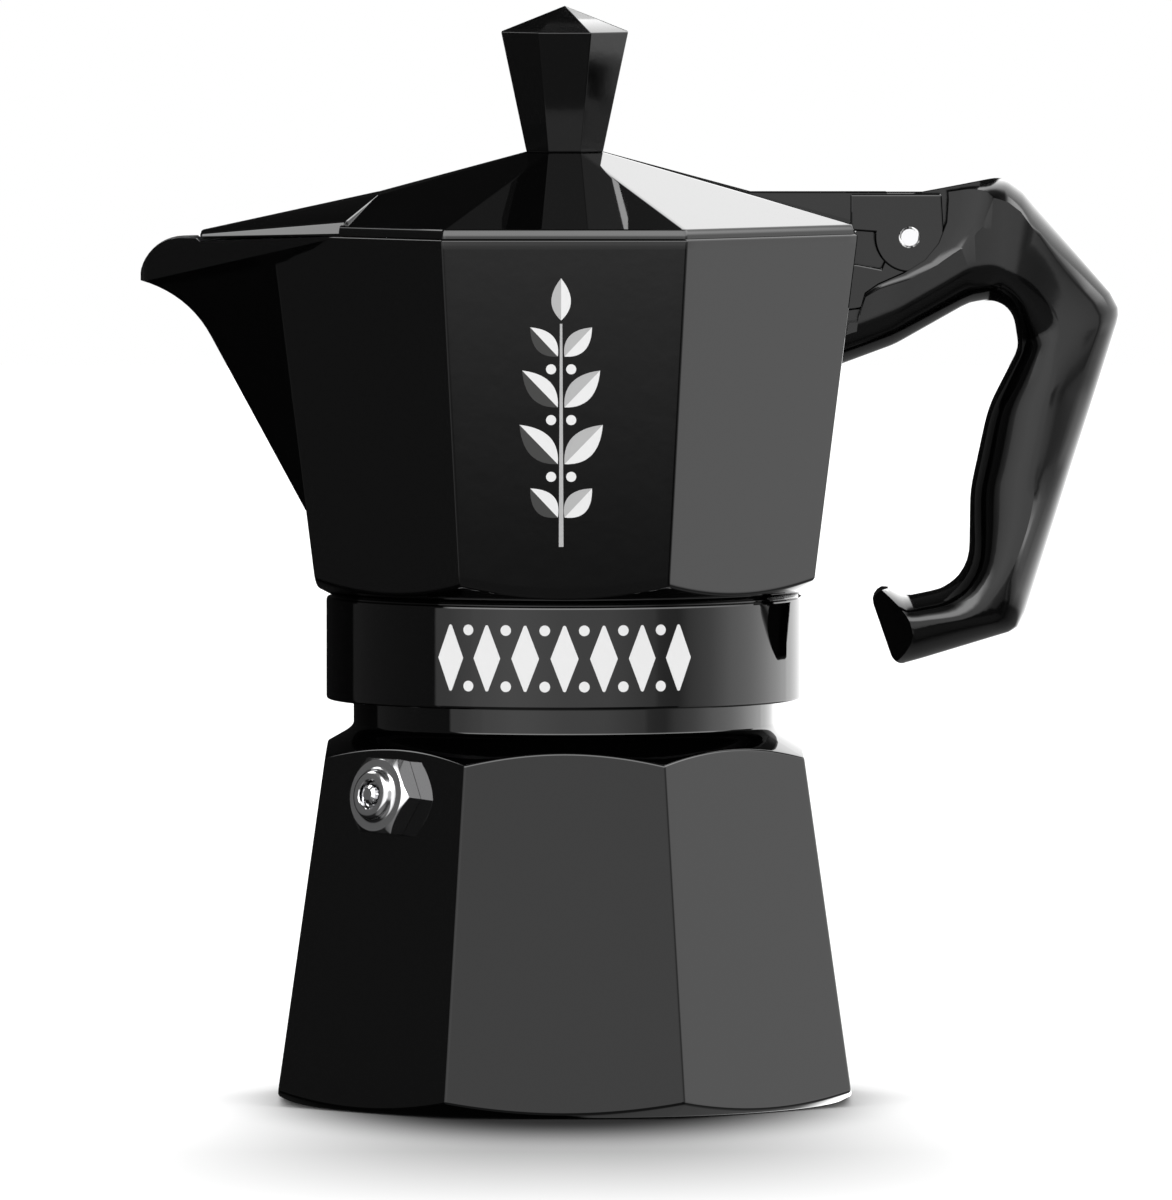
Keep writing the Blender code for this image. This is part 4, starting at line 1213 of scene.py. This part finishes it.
def make_world():
    """White to the camera, even light for diffuse surfaces, and a studio of panels for reflections."""
    world = bpy.data.worlds.new("studio")
    world.use_nodes = True
    graph = Graph(world.node_tree)
    direction = graph.node("ShaderNodeTexCoord").outputs["Generated"]
    split = graph.node("ShaderNodeSeparateXYZ", {"Vector": direction}).outputs
    x, y, z = split["X"], split["Y"], split["Z"]
    heading = graph.math("ARCTAN2", x, graph.math("MULTIPLY", y, -1.0))
    azimuth = graph.math("MULTIPLY", heading, 180 / pi)
    elevation = graph.math("MULTIPLY", graph.math("ARCSINE", z), 180 / pi)
    ring = graph.ramp(graph.math("ADD", graph.math("DIVIDE", azimuth, 360.0), 0.5), STUDIO_RING)
    ring = graph.math("MULTIPLY", ring, STUDIO_PEAK)
    front = graph.band(azimuth, *FRONT_HEADINGS)
    low = graph.math("ADD", *[graph.step(elevation, *rise) for rise in FRONT_GROUND])
    other = graph.step(elevation, *OTHER_GROUND)
    ground = graph.node("ShaderNodeMix", {0: front, 2: other, 3: low}).outputs[0]
    top = graph.step(elevation, *RING_TOP)
    flag, *strips = (
        graph.math("MULTIPLY", graph.band(azimuth, *headings), graph.band(elevation, *heights))
        for headings, heights in (FLAG, *STRIPS)
    )
    flag = graph.math("MULTIPLY_ADD", flag, FLAG_LEVEL, 1.0)
    shade = graph.math("MULTIPLY", top, flag)
    base = graph.math("MULTIPLY", graph.math("MULTIPLY", ring, ground), shade)
    base = graph.math("ADD", base, graph.step(elevation, *OVERHEAD))
    base = graph.math("MULTIPLY_ADD", graph.math("ADD", *strips), STRIP_LEVEL, base)
    rays = graph.node("ShaderNodeLightPath").outputs
    panels, even, white = (
        graph.node("ShaderNodeBackground", {"Color": (1, 1, 1, 1), "Strength": level}).outputs[0]
        for level in (base, EVEN_LEVEL, 1.0)
    )
    seen = even
    for ray, light in (("Is Glossy Ray", panels), ("Is Camera Ray", white)):
        seen = graph.node("ShaderNodeMixShader", {0: rays[ray], 1: seen, 2: light}).outputs[0]
    graph.node("ShaderNodeOutputWorld", {"Surface": seen})
    bpy.context.scene.world = world


def dress(node, material):
    """A CAD node keeps its shape and takes a material."""
    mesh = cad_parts[node].data
    mesh.materials.clear()
    mesh.materials.append(material)


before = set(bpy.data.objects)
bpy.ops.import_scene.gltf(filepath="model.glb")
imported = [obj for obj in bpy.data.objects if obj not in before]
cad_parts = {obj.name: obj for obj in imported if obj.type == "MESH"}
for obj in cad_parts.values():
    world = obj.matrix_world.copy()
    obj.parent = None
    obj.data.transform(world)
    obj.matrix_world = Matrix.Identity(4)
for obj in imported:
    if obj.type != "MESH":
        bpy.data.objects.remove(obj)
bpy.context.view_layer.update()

ENAMEL = surface("black_enamel", (0.0004, 0.0004, 0.00042), 0.035, wear=0.01, grain=300, bump=0.01)
PLASTIC = surface("black_plastic", (0.0006, 0.0006, 0.00063), 0.1, wear=0.02, grain=900, bump=0.02)
CAST_INSIDE = surface("cast_aluminium", (0.6, 0.6, 0.61), 0.42, 1.0, wear=0.08, grain=500, bump=0.2)
ALUMINIUM = surface("bare_aluminium", (0.78, 0.78, 0.79), 0.3, 1.0, wear=0.06, grain=400, bump=0.1)
CHROME = surface("chrome", (0.78, 0.78, 0.79), 0.13, 1.0, wear=0.02, bump=0.01)
STEEL = surface("steel", (0.56, 0.56, 0.57), 0.25, 1.0, wear=0.05, bump=0.05)
BRASS = surface("brass", (0.74, 0.56, 0.28), 0.25, 1.0, wear=0.06, bump=0.05)
SILICONE = surface("white_silicone", (0.75, 0.74, 0.7), 0.55, wear=0.05, bump=0.1)
PRINT_WHITE = surface("white_print", (0.64, 0.64, 0.64), 0.35, wear=0.03, grain=800, bump=0.03)
PRINT_PALE = surface("pale_print", (0.36, 0.36, 0.36), 0.35, wear=0.03, grain=800, bump=0.03)
PRINT_GREY = surface("grey_print", (0.035, 0.035, 0.034), 0.35, wear=0.03, grain=800, bump=0.03)

make_boiler()
make_valve()
make_collector()
make_emblem()
make_collar_band()
make_handle()
make_lid()
make_knob()
for names, material in (
    (("funnel", "funnel_disc", "filter_plate", "column"), ALUMINIUM),
    (("hinge_pin", "valve_stem", "valve_guide"), CHROME),
    (("knob_insert",), BRASS),
    (("valve_spring", "knob_screw", "knob_washer"), STEEL),
    (("gasket", "valve_seal"), SILICONE),
):
    for name in names:
        dress(name, material)
press_spring()

make_floor()
make_world()
make_camera()
bpy.context.scene.view_settings.view_transform = "Standard"
